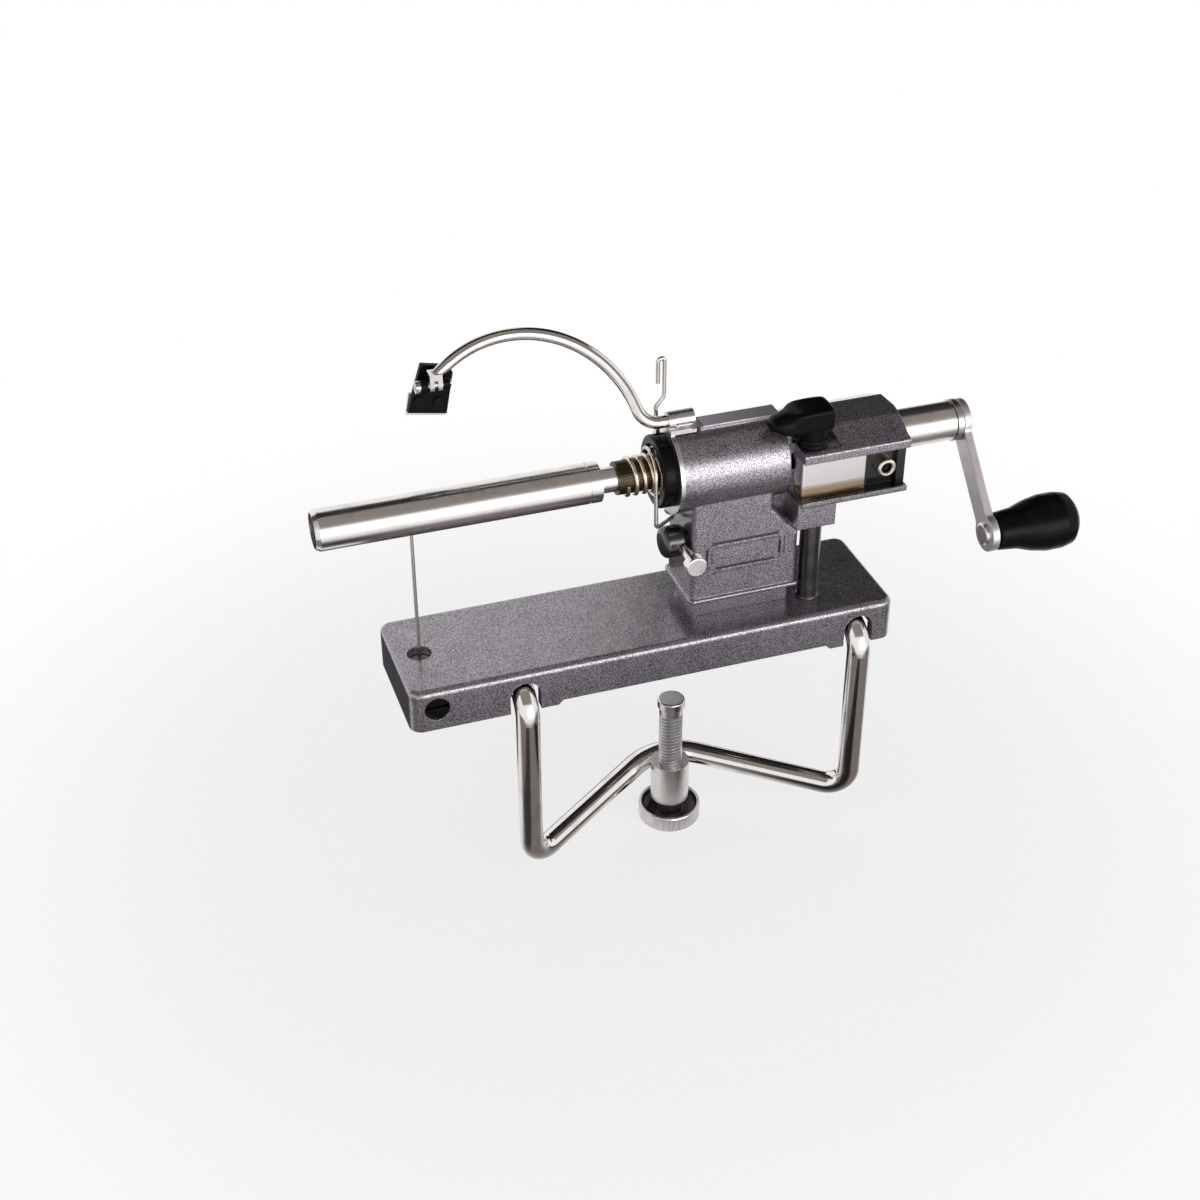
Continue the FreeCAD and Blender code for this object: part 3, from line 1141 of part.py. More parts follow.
def make_arm_spring():
    """Torsion spring of one wire: hooked leg, coils round the spindle, and the loop behind the arm."""
    height = axis.value
    radius = S.spring_radius.value
    wire = S.spring_wire.value
    start_x = S.spring_start.value
    turns = COIL_TURNS + COIL_EXIT
    end_x = start_x + turns * S.spring_pitch.value
    anchor_z = height - S.anchor_drop.value
    under_pin = anchor_z - S.anchor_head_radius.value - wire - S.hook_gap.value
    pin_x, pin_y = S.anchor_head_x.value, S.anchor_y.value
    hook = bent_path([
        Vector(pin_x + S.hook_end_x.value, pin_y + S.hook_end_y.value, under_pin + S.hook_end_rise.value),
        Vector(pin_x + S.hook_corner_x.value, pin_y - S.hook_corner_y.value, under_pin),
        Vector(start_x, -radius - S.leg_foot_out.value, anchor_z + S.leg_foot_rise.value),
        Vector(start_x, -radius, height - radius / 2),
        Vector(start_x, -radius, height)],
        [S.hook_bend.value, S.leg_foot_bend.value, S.leg_top_bend.value])
    coil_points = []
    for step in range(round(turns * STEPS_PER_TURN) + 1):
        turn = step / STEPS_PER_TURN
        coil_points.append(Vector(
            start_x + S.spring_pitch.value * turn,
            -radius * math.cos(2 * math.pi * turn),
            height + radius * math.sin(2 * math.pi * turn)))
    strand_x = end_x - S.finger_x.value
    strand_y = S.arm_radius.value + wire + S.finger_gap.value
    arm_z = arm_axis.value
    loop_right = strand_x + S.finger_shift.value
    loop_left = loop_right - S.loop_width.value
    loop_top = height + S.loop_top.value
    loop_bottom = height + S.loop_bottom.value
    finger = bent_path([
        Vector(end_x, 0, height + radius),
        Vector(end_x, strand_y, height + radius),
        Vector(strand_x, strand_y, arm_z - S.finger_low.value),
        Vector(strand_x - S.finger_lean.value, strand_y, arm_z + S.finger_high.value),
        Vector(loop_right, strand_y, arm_z + S.finger_rise.value),
        Vector(loop_right, strand_y, loop_top)],
        [S.coil_exit_bend.value, S.finger_bend.value, S.loop_bend.value, S.loop_bend.value])
    turn = Part.Arc(
        Vector(loop_right, strand_y, loop_top),
        Vector((loop_left + loop_right) / 2, strand_y, loop_top + S.loop_width.value / 2),
        Vector(loop_left, strand_y, loop_top)).toShape()
    tail = Part.LineSegment(
        Vector(loop_left, strand_y, loop_top),
        Vector(loop_left, strand_y, loop_bottom)).toShape()
    edges = hook.OrderedEdges + arcs_through(coil_points) + finger.OrderedEdges + [turn, tail]
    path = Part.Wire(edges)
    print("arm_spring: coil to coil", round(S.spring_pitch.value - 2 * wire, 3), "mm clear")
    print("arm_spring: strands of the finger loop", round(S.loop_width.value - 2 * wire, 3), "mm clear")
    finish(from_wire("spring_wire", tube_along(path, wire)), "arm_spring")

    head = document.addObject("Part::Sphere", "anchor_head")
    bind(head, "Radius", S.anchor_head_radius)
    place(head, S.anchor_head_x, S.anchor_y, axis - S.anchor_drop)
    shank = rod_along(
        "X", "anchor_shank", S.anchor_radius, S.anchor_head_x, S.column_left + S.anchor_depth - SEAT,
        S.anchor_y, axis - S.anchor_drop)
    finish(fuse("anchor_whole", head, shank), "spring_anchor")


def make_arm_bracket():
    """Steel ring on the barrel's end with a tongue and a slit knuckle for the arm's foot."""
    ring_end = S.ring_start + S.ring_thickness
    ring = rod_along("X", "bracket_ring", S.cylinder_radius + SEAT * 6, S.ring_start, ring_end, 0, axis)
    half = S.tongue_width / 2
    web = box("bracket_web", (S.ring_start, ring_end), (-half, half), (axis + S.cylinder_radius / 2, tongue_top))
    tongue = box(
        "bracket_tongue", (S.ring_start, S.knuckle_right), (-half, half),
        (axis + S.cylinder_radius + SEAT, tongue_top))
    bore_radius = S.arm_radius + S.arm_fit
    knuckle = rod_along(
        "X", "knuckle", bore_radius + S.knuckle_wall, S.knuckle_left, S.knuckle_right, 0, arm_axis)
    saddle = box(
        "knuckle_saddle", (S.knuckle_left, S.knuckle_right), (-S.knuckle_wall, bore_radius + S.knuckle_wall),
        (tongue_top - S.knuckle_wall, arm_axis))
    hole = rod_along("X", "ring_hole", S.cap_hole, S.ring_start - 1, ring_end + 1, 0, axis)
    bore = rod_along("X", "knuckle_bore", bore_radius, S.knuckle_left - 1, S.knuckle_right + 1, 0, arm_axis)
    slit = box(
        "knuckle_slit", (S.knuckle_left + S.slit_height, S.knuckle_right + 1),
        (-S.tongue_width, -S.knuckle_wall), (tongue_top, tongue_top + S.slit_height))
    blank = fuse("bracket_blank", ring, web, tongue, knuckle, saddle)
    return finish(cut("bracket_cut", blank, hole, bore, slit), "arm_bracket")


def leaned(u, v):
    """A point of the arm's plane: u along X, v up the lean from the pivot line."""
    lean = math.radians(S.arm_lean.value)
    return Vector(u, v * math.sin(lean), arm_axis.value + v * math.cos(lean))


def make_arm():
    """Round rod: foot in the knuckle, one large arch, and a forked end for the blade holder."""
    arch = S.arch_radius.value
    fillet = S.arm_fillet.value
    centre_u = -S.arch_centre.value
    centre_v = -S.arch_sink.value
    rise = fillet - centre_v
    fillet_u = centre_u + math.sqrt((arch + fillet) ** 2 - rise ** 2)
    join = math.atan2(rise, fillet_u - centre_u)
    end = math.radians(S.arch_end.value)

    def on_arch(angle):
        return leaned(centre_u + arch * math.cos(angle), centre_v + arch * math.sin(angle))

    def on_fillet(angle):
        return leaned(fillet_u + fillet * math.cos(angle), fillet + fillet * math.sin(angle))

    bottom = -math.pi / 2
    meet = join - math.pi
    foot_end = S.knuckle_right.value - S.arm_radius.value / 3
    path = Part.Wire([
        Part.LineSegment(leaned(foot_end, 0), leaned(fillet_u, 0)).toShape(),
        Part.Arc(on_fillet(bottom), on_fillet((bottom + meet) / 2), on_fillet(meet)).toShape(),
        Part.Arc(on_arch(join), on_arch((join + end) / 2), on_arch(end)).toShape()])
    rod = from_wire("arm_rod_bar", tube_along(path, S.arm_radius.value))
    fork_top = pivot_z + 2 * S.prong_radius
    neck_end = Vector(-S.fork_x.value, S.pivot_y.value, (fork_top - S.fork_neck_drop).value)
    heading = neck_end - on_arch(end)
    elbow = from_wire("arm_elbow", Part.makeSphere(S.arm_radius.value, on_arch(end)))
    neck = from_wire("arm_neck", Part.makeCone(
        S.arm_radius.value, S.fork_neck_radius.value, heading.Length, on_arch(end), heading))

    half_fork = S.prong_width + S.prong_gap / 2
    fork_left = -S.fork_x - half_fork
    fork_right = -S.fork_x + half_fork
    block = box(
        "fork_block", (fork_left, fork_right), (S.pivot_y - S.prong_radius, S.pivot_y + S.prong_radius),
        (pivot_z, fork_top))
    ends = rod_along("X", "fork_ends", S.prong_radius, fork_left, fork_right, S.pivot_y, pivot_z)
    fork_gap = box(
        "fork_gap", (-S.fork_x - S.prong_gap / 2, -S.fork_x + S.prong_gap / 2),
        (S.pivot_y - 2 * S.prong_radius, S.pivot_y + 2 * S.prong_radius),
        (pivot_z - 2 * S.prong_radius, pivot_z + S.prong_radius))
    pin_hole = rod_along(
        "X", "fork_pin_hole", S.holder_pin_radius, fork_left - 1, fork_right + 1, S.pivot_y, pivot_z)
    finish(cut("arm_forked", fuse("arm_blank", rod, elbow, neck, block, ends), fork_gap, pin_hole), "peeling_arm")

    ear_left = fork_left - S.ear_gap - S.ear_width
    ear_right = fork_right + S.ear_gap + S.ear_width
    pin = rod_along(
        "X", "holder_pin_bar", S.holder_pin_radius, ear_left - S.ear_gap, ear_right + S.ear_gap, S.pivot_y, pivot_z)
    head = rod_along(
        "X", "holder_pin_head", S.holder_pin_radius * 1.7, ear_left - S.ear_gap - S.prong_width,
        ear_left - S.ear_gap, S.pivot_y, pivot_z)
    slot = box(
        "holder_pin_slot", (ear_left - S.ear_gap - S.prong_width, ear_left - S.ear_gap - S.prong_width / 2),
        (S.pivot_y - S.prong_radius, S.pivot_y + S.prong_radius),
        (pivot_z - S.blade_thickness / 2, pivot_z + S.blade_thickness / 2))
    finish(cut("holder_pin_slotted", fuse("holder_pin_whole", pin, head), slot), "holder_pin")

    make_blade_holder(ear_left, fork_left, fork_right, ear_right)


HOLDER_OUTLINE = (
    (-3.4, 5.7), (6.4, 3.7), (7.3, 1.2), (4.5, -13.7), (-8.9, -11.3), (-5.5, -0.8))
"""Corners of the black holder plate, from its pivot: to the right and up."""


def make_blade_holder(ear_left, fork_left, fork_right, ear_right):
    """Black holder plate with two ears, the blade on its back and the rivets between them."""
    front = S.pivot_y + S.holder_offset
    back = front + S.holder_thickness
    holder = new_body("holder_plate")
    place(holder, -S.fork_x, 0, pivot_z)
    outline = draw_outline(new_sketch(holder, "holder_outline", "XZ", -back), HOLDER_OUTLINE)
    extruded(holder, "Pad", "holder_slab", outline, S.holder_thickness)
    parts = [holder]
    for side, low, high in (("left", ear_left, ear_left + S.ear_width), ("right", ear_right - S.ear_width, ear_right)):
        parts.append(rod_along("X", side + "_ear_round", S.ear_radius, low, high, S.pivot_y, pivot_z))
        parts.append(box(
            side + "_ear_web", (low, high), (S.pivot_y, front + S.blade_thickness),
            (pivot_z - S.ear_radius, pivot_z + S.ear_radius / 3)))
    bore = rod_along(
        "X", "ear_bore", S.holder_pin_radius + S.holder_pin_fit, ear_left - 1, ear_right + 1, S.pivot_y, pivot_z)
    low_right, low_left = HOLDER_OUTLINE[3], HOLDER_OUTLINE[4]
    slope = math.atan2(low_right[1] - low_left[1], low_right[0] - low_left[0])
    along = (math.cos(slope), math.sin(slope))
    across = (-math.sin(slope), math.cos(slope))
    bottom_width = math.hypot(low_right[0] - low_left[0], low_right[1] - low_left[1])
    rivets = []
    holes = []
    for number, share in enumerate((0.25, 0.75)):
        x = -S.fork_x + low_left[0] + along[0] * bottom_width * share + across[0] * (S.blade_height * 0.55)
        z = pivot_z + low_left[1] + along[1] * bottom_width * share + across[1] * (S.blade_height * 0.55)
        radius = S.holder_pin_radius
        shank = rod_along(
            "Y", "rivet_shank_%d" % number, radius, front - S.holder_pin_radius / 2,
            back + S.blade_thickness + S.holder_pin_radius / 2, x, z)
        heads = [
            rod_along("Y", "rivet_front_%d" % number, radius * 1.5, front - radius / 2, front, x, z),
            rod_along(
                "Y", "rivet_back_%d" % number, radius * 1.5, back + S.blade_thickness,
                back + S.blade_thickness + radius / 2, x, z)]
        rivets.append(fuse("rivet_%d" % number, shank, *heads))
        holes.append(rod_along("Y", "rivet_hole_%d" % number, radius, front - 1, back + 2, x, z))
    finish(cut("holder_bored", fuse("holder_blank", *parts), bore, *holes), "blade_holder")
    group = document.addObject("Part::Compound", "rivet_group")
    group.Links = rivets
    finish(group, "blade_rivets")

    blade = new_body("blade_strip")
    place(blade, -S.fork_x, 0, pivot_z)
    over = S.blade_overhang
    height = S.blade_height
    corners = []
    for share, up in ((0, -over), (1, -over), (1, height - over), (0, height - over)):
        corners.append((
            low_left[0] + along[0] * bottom_width * share + across[0] * up,
            low_left[1] + along[1] * bottom_width * share + across[1] * up))
    strip = draw_outline(new_sketch(blade, "blade_outline", "XZ", -back - S.blade_thickness), corners)
    extruded(blade, "Pad", "blade_slab", strip, S.blade_thickness)
    blade_holes = [
        rod_along("Y", "blade_hole_%d" % number, S.holder_pin_radius, back - 1, back + 3, 0, 0)
        for number in range(2)]
    for hole, source in zip(blade_holes, holes):
        hole.setExpression("Placement.Base.x", source.Name + ".Placement.Base.x")
        hole.setExpression("Placement.Base.z", source.Name + ".Placement.Base.z")
    finish(cut("blade_drilled", blade, *blade_holes), "peeling_blade")


def make_slicing_wire():
    """Upright slicing wire, its holder in the base socket and the set screw that pinches it."""
    bottom = S.boss_wall / 2
    holder_top = S.base_height - S.wire_holder_top
    holder = rod_along("Z", "wire_holder_bar", S.wire_holder_radius, bottom + SEAT, holder_top, wire_x)
    hole = rod_along("Z", "wire_holder_hole", S.wire_radius, bottom + 1, holder_top + 1, wire_x)
    finish(cut("wire_holder_drilled", holder, hole), "wire_holder")
    top = axis - S.spindle_radius - S.wire_gap
    finish(rod_along("Z", "slicing_wire_bar", S.wire_radius, bottom + 1, top, wire_x), "slicing_wire")
    screw_front = front_face + S.base_wall / 3
    screw_back = -S.wire_holder_radius - SEAT
    thread = rod_along(
        "Y", "set_screw_bar", S.set_screw_radius - SEAT, screw_front, screw_back - 1, wire_x, S.set_screw_height)
    point = cone_along(
        "Y", "set_screw_point", S.set_screw_radius - SEAT, S.wire_radius * 2, screw_back - 1, screw_back,
        wire_x, S.set_screw_height)
    slot = box(
        "set_screw_slot", (wire_x - S.set_screw_radius, wire_x + S.set_screw_radius),
        (screw_front - 1, screw_front + S.base_wall / 3),
        (S.set_screw_height - S.wire_radius, S.set_screw_height + S.wire_radius))
    finish(cut("set_screw_slotted", fuse("set_screw_whole", thread, point), slot), "wire_set_screw")


def make_clamp():
    """Bent rod under the table, its threaded sleeve, and the screw with pad and hand wheel."""
    middle = (leg_centres[0] + leg_centres[1]) / 2
    rod_end = (front_face + S.rod_insert).value
    leg = leg_y.value
    drop = -S.leg_drop.value
    corner = S.rod_bend.value
    left, right = leg_centres[0].value, leg_centres[1].value
    path = bent_path([
        Vector(left, rod_end, S.rod_height.value),
        Vector(left, leg, S.rod_height.value),
        Vector(left, leg, drop),
        Vector(middle.value, S.apex_back.value, -S.apex_drop.value),
        Vector(right, leg, drop),
        Vector(right, leg, S.rod_height.value),
        Vector(right, rod_end, S.rod_height.value)],
        [corner, corner, S.apex_bend.value, corner, corner])
    rod = tube_along(path, S.rod_radius.value)
    expected = math.pi * S.rod_radius.value ** 2 * path.Length
    print("clamp_frame: volume is", round(rod.Volume / expected, 4), "of section times length")
    frame = finish(from_wire("clamp_rod", rod), "clamp_frame")

    top = -S.sleeve_top
    bottom = top - S.sleeve_length
    outside = rod_along("Z", "sleeve_outside", S.sleeve_radius, bottom, top, middle)
    bore = rod_along("Z", "sleeve_bore", S.screw_radius + S.screw_fit, bottom - 1, top + 1, middle)
    seat = from_wire("sleeve_seat", tube_along(path, S.rod_radius.value + SEAT))
    finish(cut("sleeve_cut", outside, bore, seat), "clamp_sleeve")

    pad_face = -S.pad_top
    pad_back = pad_face - S.pad_thickness
    spigot = S.screw_radius / 2
    pad = rod_along("Z", "pad_disc", S.pad_radius, pad_back, pad_face, middle)
    pad_round = rounded("pad_round", pad, S.pad_thickness / 5, lambda e: edge_lies_at(e, 2, pad_face))
    pad_socket = rod_along("Z", "pad_socket", spigot + S.screw_fit, pad_back - 1, pad_back + S.pad_thickness * 0.6, middle)
    finish(cut("pad_bored", pad_round, pad_socket), "clamp_pad")

    wheel_top = bottom - S.wheel_gap
    wheel_low = wheel_top - S.wheel_thickness
    screw = rod_along("Z", "clamp_screw_bar", S.screw_radius, wheel_low + SEAT, pad_back - S.thrust_gap, middle)
    tip = rod_along(
        "Z", "clamp_screw_spigot", spigot, pad_back - S.thrust_gap, pad_back + S.pad_thickness * 0.6 - S.thrust_gap,
        middle)
    finish(fuse("clamp_screw_whole", screw, tip), "clamp_screw")
    wheel = rod_along("Z", "wheel_disc", S.wheel_radius, wheel_low, wheel_top, middle)
    wheel_round = rounded(
        "wheel_round", wheel, S.wheel_edge,
        lambda e: edge_lies_at(e, 2, wheel_low) or edge_lies_at(e, 2, wheel_top))
    wheel_bore = rod_along("Z", "wheel_bore", S.screw_radius, wheel_low + SEAT, wheel_top + 1, middle)
    dish = rod_along(
        "Z", "wheel_dish", S.wheel_radius - S.wheel_rim, wheel_top - S.wheel_dish, wheel_top + 1, middle)
    finish(cut("wheel_bored", wheel_round, wheel_bore, dish), "clamp_wheel")


def make_side_screw():
    """Dark screw in the column's left side, turned by a chrome cross pin."""
    right = S.column_left - S.side_screw_gap
    left = right - S.side_screw_length
    height = axis - S.side_screw_drop
    head = rod_along("X", "side_head", S.side_screw_radius, left, right, -S.side_screw_y, height)
    dome = rounded(
        "side_head_round", head, S.side_screw_length / 4,
        lambda e: edge_lies_at(e, 0, left) or edge_lies_at(e, 0, right))
    shank = rod_along(
        "X", "side_shank", S.side_shank_radius, right - 1, S.column_left + S.side_screw_length, -S.side_screw_y, height)
    cross = rod_along(
        "Y", "side_cross_hole", S.tommy_radius, -S.side_screw_y - S.side_screw_radius - 1,
        -S.side_screw_y + S.side_screw_radius + 1, S.tommy_x, height)
    finish(cut("side_screw_drilled", fuse("side_screw_whole", dome, shank), cross), "side_screw")

    front = -S.side_screw_y - S.tommy_reach
    bar = rod_along(
        "Y", "tommy_bar", S.tommy_radius, front, -S.side_screw_y + S.tommy_tail, S.tommy_x, height)
    knob = rod_along(
        "Y", "tommy_head", S.tommy_head_radius, front - S.tommy_head_length, front, S.tommy_x, height)
    knob_round = rounded(
        "tommy_head_round", knob, S.tommy_head_length / 6,
        lambda e: edge_lies_at(e, 1, front) or edge_lies_at(e, 1, front - S.tommy_head_length))
    finish(fuse("tommy_whole", bar, knob_round), "side_screw_pin")


make_base()
make_head()
make_fasteners()
make_cover_plate()
make_bushes()
make_half_nut()
make_lever()
make_spindle()
make_crank()
make_spring_cap()
make_arm_spring()
make_arm_bracket()
make_arm()
make_slicing_wire()
make_clamp()
make_side_screw()
document.recompute()

for thing in document.Objects:
    if "Invalid" in thing.State or "Error" in thing.State:
        raise RuntimeError("%s did not compute" % thing.Name)
for thing in finished:
    if thing.Shape.isNull() or not thing.Shape.isValid():
        raise RuntimeError("%s has no valid shape" % thing.Label)

os.makedirs("parts", exist_ok=True)
for thing in finished:
    thing.Shape.exportStep(os.path.join("parts", thing.Label + ".step"))
print(len(finished), "nodes written")
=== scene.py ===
"""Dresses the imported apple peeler: finishes for its castings, tubes and screws, and its studio."""

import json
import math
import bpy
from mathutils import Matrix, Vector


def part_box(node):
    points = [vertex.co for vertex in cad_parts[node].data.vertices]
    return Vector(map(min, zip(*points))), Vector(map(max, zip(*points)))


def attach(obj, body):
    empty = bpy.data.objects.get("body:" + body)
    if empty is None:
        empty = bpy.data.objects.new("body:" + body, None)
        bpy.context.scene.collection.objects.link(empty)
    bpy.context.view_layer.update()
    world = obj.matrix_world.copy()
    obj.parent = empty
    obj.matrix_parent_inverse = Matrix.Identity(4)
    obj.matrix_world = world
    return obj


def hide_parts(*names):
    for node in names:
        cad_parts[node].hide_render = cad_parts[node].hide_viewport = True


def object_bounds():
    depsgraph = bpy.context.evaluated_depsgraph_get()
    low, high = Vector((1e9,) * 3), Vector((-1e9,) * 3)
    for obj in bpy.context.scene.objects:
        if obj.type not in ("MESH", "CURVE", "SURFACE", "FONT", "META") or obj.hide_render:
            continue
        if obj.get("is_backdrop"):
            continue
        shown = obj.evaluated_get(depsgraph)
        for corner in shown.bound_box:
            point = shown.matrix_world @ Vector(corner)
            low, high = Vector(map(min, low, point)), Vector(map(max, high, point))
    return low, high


bl_info = {
    "name": "Apple Peeler Studio",
    "version": (1, 0, 0),
    "blender": (4, 5, 0),
    "location": "3D View > Sidebar > Peeler",
    "description": "Finishes, small parts and studio for a hand-cranked apple peeler",
    "category": "Object",
}

import bmesh
import bpy
from mathutils import Vector

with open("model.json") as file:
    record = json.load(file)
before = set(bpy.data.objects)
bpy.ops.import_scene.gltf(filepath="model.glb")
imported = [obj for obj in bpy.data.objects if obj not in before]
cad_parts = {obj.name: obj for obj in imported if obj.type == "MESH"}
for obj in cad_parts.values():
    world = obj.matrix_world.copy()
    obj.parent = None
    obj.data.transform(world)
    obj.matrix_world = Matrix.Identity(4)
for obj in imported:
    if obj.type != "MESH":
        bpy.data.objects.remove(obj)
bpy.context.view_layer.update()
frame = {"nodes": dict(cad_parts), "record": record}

MM = 0.001
MERGE = 0.004 * MM
WHITE = (1.0, 1.0, 1.0, 1.0)
# Sockets of a Mix node that mixes colours.
COLOUR_A, COLOUR_B, COLOUR_RESULT = 6, 7, 2


class Shade:
    """A number in a shader. Its operators add Math nodes, and plain numbers may stand on either side."""

    def __init__(self, nodes, socket):
        self.nodes = nodes
        self.socket = socket

    def math(self, operation, *values, **options):
        """Adds one Math node and gives its result."""
        node = self.nodes.add("ShaderNodeMath", {"operation": operation, **options}, dict(enumerate(values)))
        return Shade(self.nodes, node.outputs[0])

    def __add__(self, other):
        return self.math("ADD", self, other)

    def __radd__(self, other):
        return self.math("ADD", other, self)

    def __sub__(self, other):
        return self.math("SUBTRACT", self, other)

    def __rsub__(self, other):
        return self.math("SUBTRACT", other, self)

    def __mul__(self, other):
        return self.math("MULTIPLY", self, other)

    def __rmul__(self, other):
        return self.math("MULTIPLY", other, self)

    def __truediv__(self, other):
        return self.math("DIVIDE", self, other)

    def __pow__(self, other):
        return self.math("POWER", self, other)

    def clamped(self):
        """Kept between 0 and 1."""
        return self.math("ADD", self, 0.0, use_clamp=True)

    def step(self, low, high):
        """0 below low, 1 above high, smooth between."""
        node = self.nodes.add(
            "ShaderNodeMapRange", {"interpolation_type": "SMOOTHSTEP"},
            {"Value": self, "From Min": low, "From Max": high})
        return Shade(self.nodes, node.outputs[0])


class Nodes:
    """The nodes of a material or of the world, which starts with none."""

    def __init__(self, owner):
        owner.use_nodes = True
        self.tree = owner.node_tree
        self.tree.nodes.clear()

    def add(self, kind, settings=None, sockets=None):
        """Adds any node: its settings first, then the values or links of its sockets."""
        node = self.tree.nodes.new(kind)
        for name, value in (settings or {}).items():
            setattr(node, name, value)
        for name, value in (sockets or {}).items():
            self.feed(node.inputs[name], value)
        return node

    def feed(self, socket, value):
        """Links a socket to another one, or sets its value."""
        if isinstance(value, Shade):
            value = value.socket
        if isinstance(value, bpy.types.NodeSocket):
            self.tree.links.new(value, socket)
        else:
            socket.default_value = value


class Paint(Nodes):
    """A material being mixed: one Principled surface and whatever nodes feed it."""

    def __init__(self, name):
        self.material = bpy.data.materials.new(name)
        super().__init__(self.material)
        self.surface = self.add("ShaderNodeBsdfPrincipled")
        self.output = self.add("ShaderNodeOutputMaterial", {}, {"Surface": self.surface.outputs[0]})
        self.place = self.add("ShaderNodeTexCoord").outputs["Object"]

    def set(self, **values):
        """Sets or links sockets of the surface; Base_Color stands for Base Color."""
        for name, value in values.items():
            self.feed(self.surface.inputs[name.replace("_", " ")], value)
        return self.material

    def stretched(self, along, squeeze):
        """Object coordinates squeezed along one axis, so that grain runs along it."""
        scale = [1.0, 1.0, 1.0]
        scale["XYZ".index(along)] = squeeze
        return self.add("ShaderNodeMapping", {}, {"Vector": self.place, "Scale": scale}).outputs[0]

    def place_part(self, number):
        """One of the object coordinates: 0 is X, 1 is Y and 2 is Z, in metres."""
        node = self.add("ShaderNodeSeparateXYZ", {}, {0: self.place})
        return Shade(self, node.outputs[number])

    def noise(self, size, detail=2.0, rough=0.5, place=None):
        """Cloudy grain whose blotches are about this many metres across."""
        node = self.add(
            "ShaderNodeTexNoise", {},
            {"Vector": place or self.place, "Scale": 1.0 / size, "Detail": detail, "Roughness": rough})
        return Shade(self, node.outputs["Fac"])

    def cells(self, size, smooth=0.6):
        """Rounded cells about this many metres across: 0 in the middle of each."""
        node = self.add(
            "ShaderNodeTexVoronoi", {"feature": "SMOOTH_F1"},
            {"Vector": self.place, "Scale": 1.0 / size, "Smoothness": smooth})
        return Shade(self, node.outputs["Distance"])

    def mix(self, factor, first, second):
        """A colour between two colours."""
        node = self.add("ShaderNodeMix", {"data_type": "RGBA"}, {0: factor})
        for number, colour in ((COLOUR_A, first), (COLOUR_B, second)):
            is_link = isinstance(colour, bpy.types.NodeSocket)
            self.feed(node.inputs[number], colour if is_link else (*colour, 1.0))
        return node.outputs[COLOUR_RESULT]

    def bump(self, height, distance, strength=1.0, normal=None):
        """Normals roughened by a height, over other normals if they are given."""
        sockets = {"Height": height, "Distance": distance, "Strength": strength}
        if normal is not None:
            sockets["Normal"] = normal
        return self.add("ShaderNodeBump", {}, sockets).outputs[0]

    def soft_edges(self, radius):
        """Normals that round off the edges of a CAD solid."""
        return self.add("ShaderNodeBevel", {"samples": 4}, {"Radius": radius}).outputs[0]


def inside(paint, low, high, soft=0.4 * MM):
    """1 inside a box of object coordinates and 0 outside it."""
    share = 1.0
    for number in range(3):
        place = paint.place_part(number)
        share = place.step(low[number] - soft, low[number]) * share
        share = (1 - place.step(high[number], high[number] + soft)) * share
    return share


def hammered(name, dark, light, cell, painted_light_boxes=()):
    """Glossy hammered paint: fine dimples with paler metal flakes. Painted light boxes are boxes in another
    colour: painted shade and a painted reflection.
    """
    paint = Paint(name)
    dimples = paint.cells(cell)
    flakes = paint.noise(cell * 0.7, detail=3.0, rough=0.65)
    patches = paint.noise(cell * 14.0, detail=1.0)
    pale = (flakes.step(0.38, 0.66) * 0.9 + dimples.clamped() * 0.25 + (patches - 0.5) * 0.3).clamped()
    colour = paint.mix(pale, dark, light)
    # Painted light: the boxes lay painted shade and a painted reflection over the paint.
    for low, high, tarnish_and_painted_light, share in painted_light_boxes:
        colour = paint.mix(inside(paint, low, high) * share, colour, tarnish_and_painted_light)
    normal = paint.bump(dimples + flakes * 0.5, cell * 0.07, 0.28, paint.soft_edges(0.6 * MM))
    return paint.set(
        Base_Color=colour, Metallic=0.85, Roughness=0.25 + 0.12 * flakes,
        Coat_Weight=1.0, Coat_Roughness=0.15, Normal=normal)


# The raised frame on the column's front, in millimetres: edges, width of its line, and the face it is on.
PANEL_LEFT, PANEL_RIGHT, PANEL_BOTTOM, PANEL_TOP = 21.0, 50.0, 35.6, 47.2
PANEL_LINE = 1.3
COLUMN_FRONT = -12.5
# The painted shade along it: width, how far it stays from the corners, colour and share.
SHADE_LINE_WIDTH = 0.45
SHADE_LINE_CORNER = 2.0
SHADE_LINE_COLOUR = (0.012, 0.012, 0.013)
SHADE_LINE_SHARE = 0.8


def panel_painted_shade():
    """Painted shade along the raised frame: four thin dark boxes outside its line and four inside."""
    painted_light_boxes = []
    for out, wide in ((0.0, SHADE_LINE_WIDTH), (-PANEL_LINE, -SHADE_LINE_WIDTH)):
        left, right, bottom, top = (
            PANEL_LEFT - out, PANEL_RIGHT + out, PANEL_BOTTOM - out, PANEL_TOP + out)
        across = (left + SHADE_LINE_CORNER, right - SHADE_LINE_CORNER)
        upright = (bottom + SHADE_LINE_CORNER, top - SHADE_LINE_CORNER)
        for x_ends, z_ends in (
                ((left - wide, left), upright), ((right, right + wide), upright),
                (across, (bottom - wide, bottom)), (across, (top, top + wide))):
            x_low, x_high = sorted(x_ends)
            z_low, z_high = sorted(z_ends)
            painted_light_boxes.append((
                Vector((x_low, COLUMN_FRONT - 0.1, z_low)) * MM,
                Vector((x_high, COLUMN_FRONT + 0.3, z_high)) * MM, SHADE_LINE_COLOUR, SHADE_LINE_SHARE))
    return painted_light_boxes


